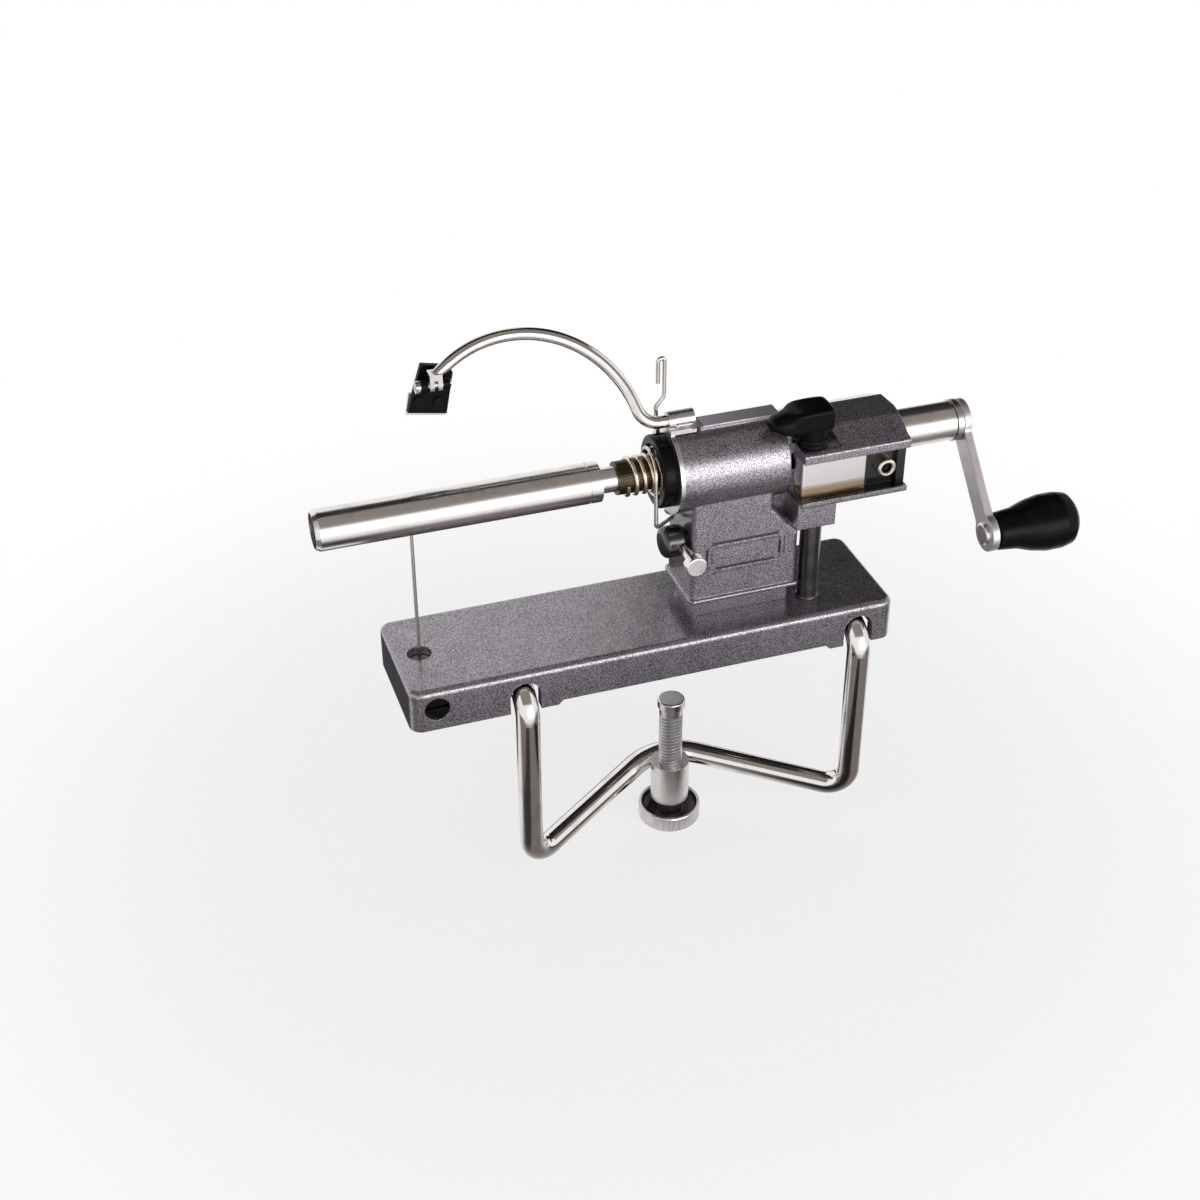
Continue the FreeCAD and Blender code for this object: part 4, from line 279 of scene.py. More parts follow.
def dished_wheel(name, bright, dull, dark, middle, rim, top):
    """The clamp's wheel: satin outside, black in its dish."""
    paint = Paint(name)
    lines = paint.noise(0.3 * MM, detail=3.0, place=paint.stretched("Z", 0.05))
    away = distance_from(paint, middle)
    dish = (1 - away.step(rim - 0.3 * MM, rim)) * (1 - paint.place_part(2).step(top - 0.5 * MM, top))
    metal = paint.mix(lines.step(0.35, 0.7), bright, dull)
    normal = paint.bump(lines, 0.02 * MM, 0.4, paint.soft_edges(0.25 * MM))
    return paint.set(
        Base_Color=paint.mix(dish * 0.96, metal, dark), Metallic=1.0,
        Roughness=0.16 + 0.12 * lines + 0.1 * dish, Normal=normal)


def ringed_screw(name, cream, dull, middle, hole, front):
    """The cover plate's screw: a cream plated ring round a hollow painted black as shade."""
    paint = Paint(name)
    grain = paint.noise(0.4 * MM, detail=2.0)
    x = paint.place_part(0) - middle.x
    z = paint.place_part(2) - middle.z
    away = (x * x + z * z) ** 0.5
    # Painted shade: the hollow inside the ring is painted near black.
    deep = 1 - away.step(hole - 0.15 * MM, hole + 0.15 * MM)
    deep = deep * paint.place_part(1).step(front, front + 0.4 * MM)
    normal = paint.bump(grain, 0.02 * MM, 0.3, paint.soft_edges(0.15 * MM))
    return paint.set(
        Base_Color=paint.mix(deep, paint.mix(grain, cream, dull), (0.01, 0.009, 0.008)),
        Metallic=1 - deep * 0.8, Roughness=0.24 + 0.12 * grain, Normal=normal)


def distance_from(paint, middle):
    """Distance from an upright axis."""
    x = paint.place_part(0) - middle.x
    y = paint.place_part(1) - middle.y
    return (x * x + y * y) ** 0.5


def polished_plate(name, bright, golden, deep, low, high):
    """The cover plate: polished, with a painted golden brown reflection along its lower edge."""
    paint = Paint(name)
    height = (paint.place_part(2) - low) / (high - low)
    lines = paint.noise(0.3 * MM, detail=3.0, place=paint.stretched("X", 0.03))
    streaks = paint.noise(2.2 * MM, detail=3.0, place=paint.stretched("X", 0.12))
    wavy = height + (streaks - 0.5) * 0.16
    # Painted reflection: a golden brown band low on the plate, and a dark band along its lowest edge.
    colour = paint.mix(wavy.step(0.26, 0.42), golden, bright)
    colour = paint.mix((1 - wavy.step(0.10, 0.22)) * streaks.step(0.3, 0.6), colour, deep)
    normal = paint.bump(lines, 0.012 * MM, 0.4, paint.soft_edges(0.25 * MM))
    return paint.set(Base_Color=colour, Metallic=1.0, Roughness=0.16 + 0.1 * lines, Normal=normal)


def polished(name, colour, tarnish, rough, grain="X"):
    """Bright plated or polished metal, with faint draw marks along one axis and soft cloudy patches."""
    paint = Paint(name)
    drawn = paint.noise(0.35 * MM, detail=2.0, place=paint.stretched(grain, 0.04))
    clouds = paint.noise(9.0 * MM, detail=3.0)
    tarnish_and_painted_light = (clouds.step(0.45, 0.75) * 0.55 + (drawn - 0.5) * 0.2).clamped()
    normal = paint.bump(drawn, 0.010 * MM, 0.3)
    return paint.set(
        Base_Color=paint.mix(tarnish_and_painted_light, colour, tarnish), Metallic=1.0,
        Roughness=rough + 0.08 * clouds.step(0.4, 0.8) + 0.04 * drawn, Normal=normal)


def brushed(name, colour, tarnish, rough, grain="X", edges=0.25 * MM):
    """Satin metal with clear brush lines along one axis."""
    paint = Paint(name)
    lines = paint.noise(0.22 * MM, detail=3.0, rough=0.7, place=paint.stretched(grain, 0.03))
    clouds = paint.noise(6.0 * MM, detail=3.0)
    tarnish_and_painted_light = (clouds.step(0.4, 0.8) * 0.5 + (lines - 0.5) * 0.5).clamped()
    normal = paint.bump(lines, 0.03 * MM, 0.5, paint.soft_edges(edges))
    return paint.set(
        Base_Color=paint.mix(tarnish_and_painted_light, colour, tarnish), Metallic=1.0, Roughness=rough + 0.16 * lines,
        Normal=normal)


def glossy_black(name, colour, rough, pores):
    """Moulded black with a fine skin, slightly greyer where hands have rubbed it."""
    paint = Paint(name)
    skin = paint.noise(pores, detail=2.0)
    rubbed = paint.noise(7.0 * MM, detail=2.0).step(0.5, 0.85)
    grey = tuple(0.004 + 1.6 * part for part in colour)
    normal = paint.bump(skin, 0.02 * MM, 0.3, paint.soft_edges(0.4 * MM))
    return paint.set(
        Base_Color=paint.mix(rubbed * 0.6, colour, grey), Roughness=rough + 0.12 * rubbed + 0.06 * skin,
        Specular_IOR_Level=0.09, Coat_Weight=0.02, Coat_Roughness=0.12, Normal=normal)


# Left and right end of the lead screw's dark core.
CORE_LEFT, CORE_RIGHT = -9.3 * MM, 92.55 * MM


def turned_spindle(name, chrome, chrome_dark, core, core_deep):
    """The lead screw: a dark oily core between its chromed neck and rear tube."""
    paint = Paint(name)
    x = paint.place_part(0)
    bare = x.step(CORE_LEFT - 0.1 * MM, CORE_LEFT) * (1 - x.step(CORE_RIGHT, CORE_RIGHT + 0.1 * MM))
    drawn = paint.noise(0.35 * MM, detail=2.0, place=paint.stretched("X", 0.04))
    clouds = paint.noise(8.0 * MM, detail=3.0)
    plated = paint.mix((clouds.step(0.45, 0.75) * 0.5).clamped(), chrome, chrome_dark)
    oily = paint.mix(drawn.step(0.3, 0.7), core, core_deep)
    normal = paint.bump(drawn, 0.012 * MM, 0.3)
    return paint.set(
        Base_Color=paint.mix(bare, plated, oily), Metallic=1.0,
        Roughness=0.24 + 0.1 * bare + 0.06 * clouds, Normal=normal)


def riveted_holder(name, steel, black, front):
    """The blade's rivets: blackened with the holder in front, bright behind the blade."""
    paint = Paint(name)
    grain = paint.noise(0.3 * MM, detail=3.0)
    behind = paint.place_part(1).step(front, front + 0.1 * MM)
    normal = paint.bump(grain, 0.02 * MM, 0.4)
    return paint.set(
        Base_Color=paint.mix(behind, black, steel), Metallic=behind,
        Roughness=0.42 - 0.14 * behind + 0.08 * grain, Specular_IOR_Level=0.12, Normal=normal)


# Painted shade in the hollows of the castings, and a painted reflection on the pale land on the head's top:
# colours, and the land's share, left and right end and half width. The base's hollow: the rim round it and
# its ceiling. Lengths are in millimetres.
HOLLOW_SHADE_COLOUR = (0.006, 0.006, 0.006)
LAND_REFLECTION_COLOUR = (0.74, 0.68, 0.72)
LAND_REFLECTION_SHARE = 0.95
LAND_LEFT, LAND_RIGHT, LAND_HALF_WIDTH = 22.0, 53.0, 4.0
BASE_RIM, BASE_CEILING = 2.4, 13.0


def head_painted_light():
    """Other colours on the head: painted shade in the black hollow right of its cover plate, a painted
    reflection on its pale top, and painted shade along its frame.
    """
    plate_low, plate_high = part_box("cover_plate")
    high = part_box("head_casting")[1]
    # Painted shade: the hollow right of the cover plate is painted black.
    hollow = (
        (plate_high.x + 0.3 * MM, plate_low.y - 0.8 * MM, plate_low.z - 0.2 * MM),
        (high.x + MM, plate_high.y + 12.0 * MM, plate_high.z + 0.3 * MM), HOLLOW_SHADE_COLOUR, 1.0)
    # Painted reflection: the land on the head's top is painted pale.
    land = (
        (LAND_LEFT * MM, -LAND_HALF_WIDTH * MM, high.z - 0.15 * MM),
        (LAND_RIGHT * MM, LAND_HALF_WIDTH * MM, high.z + MM), LAND_REFLECTION_COLOUR, LAND_REFLECTION_SHARE)
    return [hollow, land, *panel_painted_shade()]


def base_painted_shade():
    """Painted shade: black for the hollow underneath the base, inside its rim."""
    low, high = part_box("base")
    rim = BASE_RIM * MM
    return [(
        (low.x + rim, low.y + rim, low.z - MM), (high.x - rim, high.y - rim, BASE_CEILING * MM),
        HOLLOW_SHADE_COLOUR, 1.0)]


def make_finishes(look):
    """One material for each of the record's slots, and one for each node with two finishes."""
    black = (0.003, 0.003, 0.0032)
    steel = (0.70, 0.69, 0.70)
    plate_low, plate_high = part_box("cover_plate")
    paints = {
        node: hammered(node + "_paint", look.paint_dark, look.paint_light, look.paint_cell, painted_light_boxes)
        for node, painted_light_boxes in (("head_casting", head_painted_light()), ("base", base_painted_shade()))}
    wheel_low, wheel_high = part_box("clamp_wheel")
    ring_low, ring_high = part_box("cover_screw")
    ring_radius = (ring_high.x - ring_low.x) / 2
    return {
        **paints,
        "clamp_wheel": dished_wheel(
            "clamp_wheel", (0.74, 0.71, 0.71), (0.50, 0.46, 0.45), (0.02, 0.018, 0.018),
            (wheel_low + wheel_high) / 2, (wheel_high.x - wheel_low.x) / 2 - 1.2 * MM, wheel_high.z),
        "cover_screw": ringed_screw(
            "cover_screw", (0.88, 0.80, 0.70), (0.60, 0.50, 0.40), (ring_low + ring_high) / 2,
            ring_radius - 1.5 * MM, ring_low.y + 0.25 * MM),
        "crank_arm": brushed("crank_arm", (0.74, 0.70, 0.73), (0.58, 0.54, 0.56), 0.34, "Z"),
        # The set screw is plain black, and the black also stands in for the shade in its hole, as painted
        # shade.
        "wire_set_screw": glossy_black("wire_set_screw", (0.004, 0.004, 0.004), 0.3, 0.5 * MM),
        "cover_plate": polished_plate(
            "cover_plate", (0.86, 0.80, 0.81), (0.42, 0.33, 0.20), (0.05, 0.035, 0.02),
            plate_low.z, plate_high.z),
        "hammered_paint": paints["head_casting"],
        "chrome_rod": polished("chrome_rod", look.chrome, look.chrome_dark, 0.09),
        "chrome_tube": polished("chrome_tube", look.chrome, look.chrome_dark, 0.19),
        "bright_steel": brushed("bright_steel", (0.74, 0.72, 0.74), (0.56, 0.54, 0.55), 0.20),
        "nickel_bar": brushed("nickel_bar", (0.72, 0.69, 0.69), (0.46, 0.43, 0.42), 0.17, "Z"),
        "zinc_steel": brushed("zinc_steel", (0.62, 0.61, 0.61), (0.42, 0.40, 0.39), 0.22),
        "screw_core": turned_spindle(
            "screw_core", look.chrome, look.chrome_dark, (0.10, 0.075, 0.05), (0.03, 0.022, 0.015)),
        "thread_ridge": polished("thread_ridge", (0.80, 0.70, 0.53), (0.46, 0.36, 0.23), 0.16),
        "spring_wire": polished("spring_wire", (0.66, 0.62, 0.58), (0.38, 0.34, 0.31), 0.14, "Z"),
        "sintered_bush": brushed("sintered_bush", (0.50, 0.37, 0.20), (0.30, 0.21, 0.11), 0.42),
        "dark_screw": brushed("dark_screw", (0.12, 0.115, 0.12), (0.035, 0.033, 0.033), 0.13, "Z"),
        "black_plate": glossy_black("black_plate", black, 0.38, 0.5 * MM),
        "black_cap": glossy_black("black_cap", black, 0.22, 0.7 * MM),
        "black_knob": glossy_black("black_knob", black, 0.26, 0.9 * MM),
        "blade_rivets": riveted_holder("blade_rivets", steel, black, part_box("blade_holder")[1].y),
    }


FINISHES = {}


class PeelerLook(bpy.types.PropertyGroup):
    """Colours and grain of the paint and the chrome"""
    paint_dark: bpy.props.FloatVectorProperty(
        name="Paint", description="Dark ground of the hammered paint", subtype="COLOR", min=0.0, max=1.0,
        default=(0.055, 0.051, 0.058))
    paint_light: bpy.props.FloatVectorProperty(
        name="Flakes", description="Pale flakes in the hammered paint", subtype="COLOR", min=0.0, max=1.0,
        default=(0.52, 0.48, 0.53))
    paint_cell: bpy.props.FloatProperty(
        name="Dimples", description="Width of the paint's dimples", unit="LENGTH", default=0.62 * MM)
    chrome: bpy.props.FloatVectorProperty(
        name="Chrome", description="Bright plating", subtype="COLOR", min=0.0, max=1.0,
        default=(0.82, 0.79, 0.77))
    chrome_dark: bpy.props.FloatVectorProperty(
        name="Tarnish", description="Dulled plating", subtype="COLOR", min=0.0, max=1.0,
        default=(0.60, 0.55, 0.52))


class PeelerStage(bpy.types.PropertyGroup):
    """Camera, floor and light"""
    azimuth: bpy.props.FloatProperty(
        name="Azimuth", description="Camera to the right of the front, or to the left below 0",
        subtype="ANGLE", default=math.radians(-18.998))
    elevation: bpy.props.FloatProperty(
        name="Elevation", description="Camera above the table", subtype="ANGLE", default=math.radians(33.958))
    distance: bpy.props.FloatProperty(
        name="Distance", description="Camera to the base", unit="LENGTH", default=688.6 * MM)
    lens: bpy.props.FloatProperty(
        name="Lens", description="Focal length in millimetres for a 36 mm film", default=57.66)
    floor_grey: bpy.props.FloatProperty(
        name="Floor", description="Lightness of the floor", default=0.94, min=0.0, max=1.0)
    floor_gap: bpy.props.FloatProperty(
        name="Floor gap", description="Floor below the lowest piece", unit="LENGTH", default=0.3 * MM)
    floor_veil: bpy.props.FloatProperty(
        name="Floor veil", description="Share of white over the shadow close to the object", default=0.66,
        min=0.0, max=1.0)
    floor_near: bpy.props.FloatProperty(
        name="Floor near", description="Distance where the floor starts to turn white", unit="LENGTH",
        default=0.13)
    floor_far: bpy.props.FloatProperty(
        name="Floor far", description="Distance where the floor is as white as the backdrop", unit="LENGTH",
        default=0.36)
    ambient: bpy.props.FloatProperty(
        name="Ambient", description="Light from all round", default=0.58, min=0.0)
    key_power: bpy.props.FloatProperty(
        name="Key", description="Large lamp at the front, in watts", default=6.0, min=0.0)
    key_azimuth: bpy.props.FloatProperty(
        name="Key azimuth", description="That lamp to the right of the front", subtype="ANGLE",
        default=math.radians(16.0))
    key_elevation: bpy.props.FloatProperty(
        name="Key elevation", description="That lamp above the table", subtype="ANGLE",
        default=math.radians(9.0))


class PEELER_OT_finishes(bpy.types.Operator):
    """Paints every CAD node in the finish of its slot"""
    bl_idname = "peeler.finishes"
    bl_label = "Finish the CAD nodes"

    def execute(self, context):
        FINISHES.update(make_finishes(context.scene.peeler_look))
        for entry in frame["record"]["subparts"]:
            node = frame["nodes"][entry["node"]]
            for slot in node.material_slots:
                slot.material = FINISHES.get(entry["node"], FINISHES[entry["material_slot"]])
        return {"FINISHED"}


def start_point(name, place):
    """A new piece of one point, ready to be drawn on: a plane merged into its middle."""
    bpy.ops.object.select_all(action="DESELECT")
    bpy.ops.mesh.primitive_plane_add(size=MM, location=(0.0, 0.0, 0.0))
    piece = bpy.context.object
    piece.name = name
    piece.data.name = name
    bpy.ops.object.mode_set(mode="EDIT")
    bpy.ops.mesh.select_all(action="SELECT")
    bpy.ops.mesh.merge(type="CENTER")
    bpy.ops.transform.translate(value=place)
    return piece


def draw_on(points):
    """Draws edges from the chosen point through the next ones."""
    for before, after in zip(points, points[1:]):
        bpy.ops.mesh.extrude_region_move(TRANSFORM_OT_translate={"value": after - before})


def choose(piece, kind, test):
    """Selects the points, edges or faces that pass a test."""
    bpy.ops.mesh.select_mode(type=kind)
    bpy.ops.mesh.select_all(action="DESELECT")
    mesh = bmesh.from_edit_mesh(piece.data)
    for part in {"VERT": mesh.verts, "EDGE": mesh.edges, "FACE": mesh.faces}[kind]:
        part.select_set(bool(test(part)))
    mesh.select_flush_mode()
    bmesh.update_edit_mesh(piece.data)


def change(piece, kind, **settings):
    """Gives a piece a modifier and applies it."""
    bpy.context.view_layer.objects.active = piece
    modifier = piece.modifiers.new(kind.lower(), kind)
    for name, value in settings.items():
        setattr(modifier, name, value)
    bpy.ops.object.modifier_apply(modifier=modifier.name)


def clean_up(piece, angle=35.0):
    """Merges doubles, turns the faces outwards, and smooths what meets softly."""
    bpy.ops.object.select_all(action="DESELECT")
    piece.select_set(True)
    bpy.context.view_layer.objects.active = piece
    bpy.ops.object.mode_set(mode="EDIT")
    bpy.ops.mesh.select_mode(type="VERT")
    bpy.ops.mesh.select_all(action="SELECT")
    bpy.ops.mesh.remove_doubles(threshold=MERGE)
    bpy.ops.mesh.normals_make_consistent(inside=False)
    bpy.ops.object.mode_set(mode="OBJECT")
    bpy.ops.object.transform_apply(location=True, rotation=True, scale=True)
    bpy.ops.object.shade_smooth_by_angle(angle=math.radians(angle))


def turned(name, axis, centre, outline, soft=0.0, steps=72):
    """Turns a closed outline round an axis. Its points are (along the axis, away from it), in millimetres."""
    number = "XYZ".index(axis)
    points = []
    for along, away in (*outline, outline[0]):
        point = Vector()
        point[number] = along * MM
        point[(number + 1) % 3] = away * MM
        points.append(point)
    piece = start_point(name, points[0])
    draw_on(points)
    bpy.ops.mesh.select_all(action="SELECT")
    bpy.ops.mesh.remove_doubles(threshold=MERGE)
    if soft:
        choose(piece, "VERT", lambda vert: vert.co[(number + 1) % 3] > 0.05 * MM)
        bpy.ops.mesh.bevel(offset=soft * MM, segments=4, affect="VERTICES", clamp_overlap=True)
    bpy.ops.object.mode_set(mode="OBJECT")
    change(
        piece, "SCREW", axis=axis, angle=2 * math.pi, steps=steps, render_steps=steps,
        use_merge_vertices=True, merge_threshold=MERGE)
    piece.location = Vector(centre) * MM
    clean_up(piece)
    return piece


def cut_out(piece, cutter):
    """Takes the cutter's space out of a piece, and the cutter away."""
    change(piece, "BOOLEAN", operation="DIFFERENCE", object=cutter, solver="EXACT")
    bpy.data.objects.remove(cutter)
    clean_up(piece)


def hand_over(piece, node, body, slot):
    """Puts a piece in place of its plain node, on its body and in its finish."""
    piece.data.materials.clear()
    piece.data.materials.append(FINISHES.get(node, FINISHES[slot]))
    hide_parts(node)
    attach(piece, body)


# How far the outlines of the wheel, the knob, the ring and the lever's foot are rounded, in millimetres.
SOFT_WHEEL, SOFT_KNOB, SOFT_RING, SOFT_FOOT = 0.35, 3.0, 0.12, 0.5
# The clamp's screw, in millimetres: the wheel's bore, and the thread's pitch, depth, half width at its
# mouth, start above the screw's lower end, and length left plain.
WHEEL_BORE = 4.55
THREAD_PITCH = 1.5
THREAD_DEPTH = 0.8
THREAD_HALF_MOUTH = 0.62
THREAD_START = 9.0
THREAD_PLAIN = 14.0
THREAD_STEPS = 32


def make_hand_wheel(low, high, x, y):
    """The clamp's dished wheel."""
    bottom, top, rim = low.z / MM, high.z / MM, (high.x - low.x) / 2 / MM - 0.03
    wheel = turned("hand_wheel", "Z", (x, y, 0.0), (
        (bottom, WHEEL_BORE), (bottom, rim - 1.0), (bottom + 0.9, rim), (top - 0.7, rim), (top, rim - 0.5),
        (top, rim - 1.1), (top - 2.2, rim - 1.9), (top - 3.4, rim - 4.0), (top - 3.4, WHEEL_BORE)),
        soft=SOFT_WHEEL)
    hand_over(wheel, "clamp_wheel", "clamp_screw", "nickel_bar")


def make_thread_groove(radius, turns):
    """The groove of the clamp screw's thread as a solid, round the origin."""
    root = (radius - THREAD_DEPTH, 0.0, 0.0)
    mouth = radius + 0.3
    groove = start_point("groove", Vector(root) * MM)
    draw_on([Vector(point) * MM for point in (
        root, (mouth, 0.0, THREAD_HALF_MOUTH), (mouth, 0.0, -THREAD_HALF_MOUTH), root)])
    bpy.ops.mesh.select_all(action="SELECT")
    bpy.ops.mesh.remove_doubles(threshold=MERGE)
    bpy.ops.mesh.edge_face_add()
    bpy.ops.object.mode_set(mode="OBJECT")
    change(
        groove, "SCREW", axis="Z", angle=2 * math.pi, screw_offset=THREAD_PITCH * MM, iterations=turns,
        steps=THREAD_STEPS, render_steps=THREAD_STEPS)
    bpy.ops.object.mode_set(mode="EDIT")
    bpy.ops.mesh.select_mode(type="EDGE")
    bpy.ops.mesh.select_all(action="DESELECT")
    bpy.ops.mesh.select_non_manifold(use_wire=False, use_multi_face=False, use_non_contiguous=False)
    bpy.ops.mesh.edge_face_add()
    bpy.ops.object.mode_set(mode="OBJECT")
    return groove


def make_clamp_spindle(low, high, x, y):
    """The clamp's screw: a bevelled rod with the thread cut into it."""
    start, end = low.z / MM, high.z / MM
    radius = (high.x - low.x) / 2 / MM - 0.01
    bevel = 0.8
    rod = turned("clamp_spindle", "Z", (x, y, 0.0), (
        (start, 0.0), (start, radius - bevel), (start + bevel, radius), (end - bevel, radius),
        (end, radius - bevel), (end, 0.0)), steps=48)
    groove = make_thread_groove(radius, round((end - start - THREAD_PLAIN) / THREAD_PITCH))
    groove.location = Vector((x, y, start + THREAD_START)) * MM
    clean_up(groove)
    cut_out(rod, groove)
    hand_over(rod, "clamp_screw", "clamp_screw", "zinc_steel")


class PEELER_OT_clamp_parts(bpy.types.Operator):
    """Turns the clamp's dished hand wheel and its threaded screw"""
    bl_idname = "peeler.clamp_parts"
    bl_label = "Clamp wheel and screw"

    def execute(self, context):
        low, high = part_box("clamp_wheel")
        x, y = ((low + high) / 2 / MM).xy
        make_hand_wheel(low, high, x, y)
        make_clamp_spindle(*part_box("clamp_screw"), x, y)
        return {"FINISHED"}


# The knob's outline: shares of its length, and of its belly's radius. Its axle's hole: radius and depth.
KNOB_OUTLINE = (
    (0.0, 0.60), (0.03, 0.66), (0.26, 0.73), (0.44, 0.90), (0.62, 1.0), (0.80, 1.0), (0.93, 0.92),
    (1.0, 0.66), (1.0, 0.0))
KNOB_BORE = (2.68, 24.0)


class PEELER_OT_knob(bpy.types.Operator):
    """Turns the crank's pear-shaped knob, bored for its axle"""
    bl_idname = "peeler.knob"
    bl_label = "Crank knob"

    def execute(self, context):
        low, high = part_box("crank_knob")
        y, z = (low.y + high.y) / 2 / MM, (low.z + high.z) / 2 / MM
        start, length = low.x / MM, (high.x - low.x) / MM
        belly = (high.z - low.z) / 2 / MM - 0.02
        bore, bore_depth = KNOB_BORE
        outline = [(start + bore_depth, 0.0), (start + bore_depth, bore), (start, bore)]
        outline += [(start + share * length, away * belly) for share, away in KNOB_OUTLINE]
        knob = turned("knob", "X", (0.0, y, z), outline, soft=SOFT_KNOB, steps=80)
        hand_over(knob, "crank_knob", "crank_knob", "black_knob")
        return {"FINISHED"}


# The cover screw's slot: its middle behind the screw's front, width and depth in millimetres, length as a
# share of the screw's radius, and turn.
SLOT_MIDDLE, SLOT_WIDTH, SLOT_DEPTH = 3.2, 0.9, 2.6
SLOT_LENGTH = 1.3
SLOT_TURN = math.radians(28.0)


class PEELER_OT_small_screws(bpy.types.Operator):
    """Turns the ring-headed screw of the cover plate"""
    bl_idname = "peeler.small_screws"
    bl_label = "Cover screw"

    def execute(self, context):
        low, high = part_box("cover_screw")
        x, z = (low.x + high.x) / 2 / MM, (low.z + high.z) / 2 / MM
        front, back, radius = low.y / MM, high.y / MM, (high.x - low.x) / 2 / MM - 0.02
        ring = turned("ring_screw", "Y", (x, 0.0, z), (
            (back, 0.0), (back, radius), (front + 0.5, radius), (front, radius - 0.6), (front, radius - 1.2),
            (front + 0.6, radius - 1.6), (front + 2.4, radius - 1.7), (front + 2.4, 0.0)),
            soft=SOFT_RING, steps=56)
        bpy.ops.object.select_all(action="DESELECT")
        bpy.ops.mesh.primitive_cube_add(
            size=MM, location=(x * MM, (front + SLOT_MIDDLE) * MM, z * MM),
            scale=(SLOT_WIDTH, SLOT_DEPTH, radius * SLOT_LENGTH), rotation=(0.0, SLOT_TURN, 0.0))
        slot = bpy.context.object
        bpy.ops.object.mode_set(mode="EDIT")
        bpy.ops.mesh.bevel(offset=0.2 * MM, segments=2)
        bpy.ops.object.mode_set(mode="OBJECT")
        bpy.ops.object.transform_apply(location=True, rotation=True, scale=True)
        cut_out(ring, slot)
        hand_over(ring, "cover_screw", "frame", "zinc_steel")
        return {"FINISHED"}


# The lever, in millimetres: the bore of its foot, the foot's height, and the handle's height.
LEVER_BORE = 2.62
LEVER_FOOT = 8.4
LEVER_HEAD = 8.4
# The handle's steps to the left: length, share of the width, share of the height, and drop.
LEVER_STEPS = ((0.5, 0.94, 0.90, 0.05), (0.50, 0.80, 0.84, 0.10), (0.16, 0.60, 0.62, 0.05))
# Its one step to the right: length, share of the width, share of the height.
LEVER_END = (0.12, 0.80, 0.84)
# How hard the edges along it are creased, and how far their ends may differ in height or width.
LEVER_CREASE = 0.45
LEVER_LEVEL = 0.15


def reach_of(piece):
    """Lowest and highest corner of a piece's points."""
    columns = tuple(zip(*(vert.co for vert in piece.data.vertices)))
    return Vector(tuple(map(min, columns))), Vector(tuple(map(max, columns)))


class PEELER_OT_lever(bpy.types.Operator):
    """Shapes the release lever: a round hub with a foot, and a thick handle to its left"""
    bl_idname = "peeler.lever"
    bl_label = "Release lever"

    def execute(self, context):
        low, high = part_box("release_lever")
        hub_radius = (high.y - low.y) / 2 / MM
        x, y = high.x / MM - hub_radius, (low.y + high.y) / 2 / MM
        bottom = low.z / MM
        foot = turned("lever_foot", "Z", (x, y, 0.0), (
            (bottom, LEVER_BORE), (bottom, hub_radius - 0.9), (bottom + 1.4, hub_radius - 0.7),
            (bottom + 2.4, hub_radius - 1.6), (bottom + LEVER_FOOT, hub_radius - 1.1),
            (bottom + LEVER_FOOT, LEVER_BORE)), soft=SOFT_FOOT)
        bpy.ops.object.select_all(action="DESELECT")
        bpy.ops.mesh.primitive_cube_add(size=1.0, location=(0.0, 0.0, 0.0))
        handle = bpy.context.object
        handle.name = "lever_handle"
        handle.data.name = "lever_handle"
        bpy.ops.object.mode_set(mode="EDIT")
        for step, narrow, thin, drop in LEVER_STEPS:
            choose(handle, "FACE", lambda face: face.normal.x < -0.9)
            bpy.ops.mesh.extrude_region_move(TRANSFORM_OT_translate={"value": (-step, 0.0, -drop)})
            bpy.ops.transform.resize(value=(1.0, narrow, thin))
        choose(handle, "FACE", lambda face: face.normal.x > 0.9)
        step, narrow, thin = LEVER_END
        bpy.ops.mesh.extrude_region_move(TRANSFORM_OT_translate={"value": (step, 0.0, 0.0)})
        bpy.ops.transform.resize(value=(1.0, narrow, thin))
        choose(handle, "EDGE", lambda edge: (
            abs(edge.verts[0].co.z - edge.verts[1].co.z) < LEVER_LEVEL
            and abs(edge.verts[0].co.y - edge.verts[1].co.y) < LEVER_LEVEL))
        bpy.ops.transform.edge_crease(value=LEVER_CREASE)
        bpy.ops.object.mode_set(mode="OBJECT")
        change(handle, "SUBSURF", levels=4, render_levels=4)
        first, last = reach_of(handle)
        reach, middle = last - first, (first + last) / 2
        wanted = Vector((high.x - low.x - 0.1 * MM, (2 * hub_radius - 0.6) * MM, LEVER_HEAD * MM))
        scale = Vector((wanted.x / reach.x, wanted.y / reach.y, wanted.z / reach.z))
        place = Vector(((low.x + high.x) / 2, y * MM, high.z - (LEVER_HEAD / 2 + 0.02) * MM))
        handle.scale = scale
        handle.location = place - middle * scale
        clean_up(handle, 60.0)
        for piece in (foot, handle):
            hand_over(piece, "release_lever", "lever", "black_knob")
        return {"FINISHED"}


def direction(azimuth, elevation):
    """Points from the object: azimuth 0 is its front, and elevation may pass the top to the back."""
    flat = math.cos(elevation)
    return Vector((math.sin(azimuth) * flat, -math.cos(azimuth) * flat, math.sin(elevation)))


def aim(thing, towards):
    """Turns a lamp, a card or the camera to face a direction."""
    thing.rotation_euler = towards.to_track_quat("-Z", "Y").to_euler()


def white_where_clear(nodes, plain, white, share=1.0):
    """The plain light or surface, with a share of white for camera, glossy and transmission rays."""
    rays = nodes.add("ShaderNodeLightPath").outputs
    seen = Shade(nodes, rays["Is Camera Ray"])
    for name in ("Is Glossy Ray", "Is Transmission Ray"):
        seen = seen.math("MAXIMUM", seen, rays[name])
    return nodes.add("ShaderNodeMixShader", {}, {0: seen * share, 1: plain, 2: white}).outputs[0]


def white_light(nodes, kind, strength):
    """White light from an Emission or a Background node."""
    return nodes.add(kind, {}, {"Color": WHITE, "Strength": strength}).outputs[0]


FLOOR_SIZE = 12.0
FLOOR_SPECKLE = 0.02


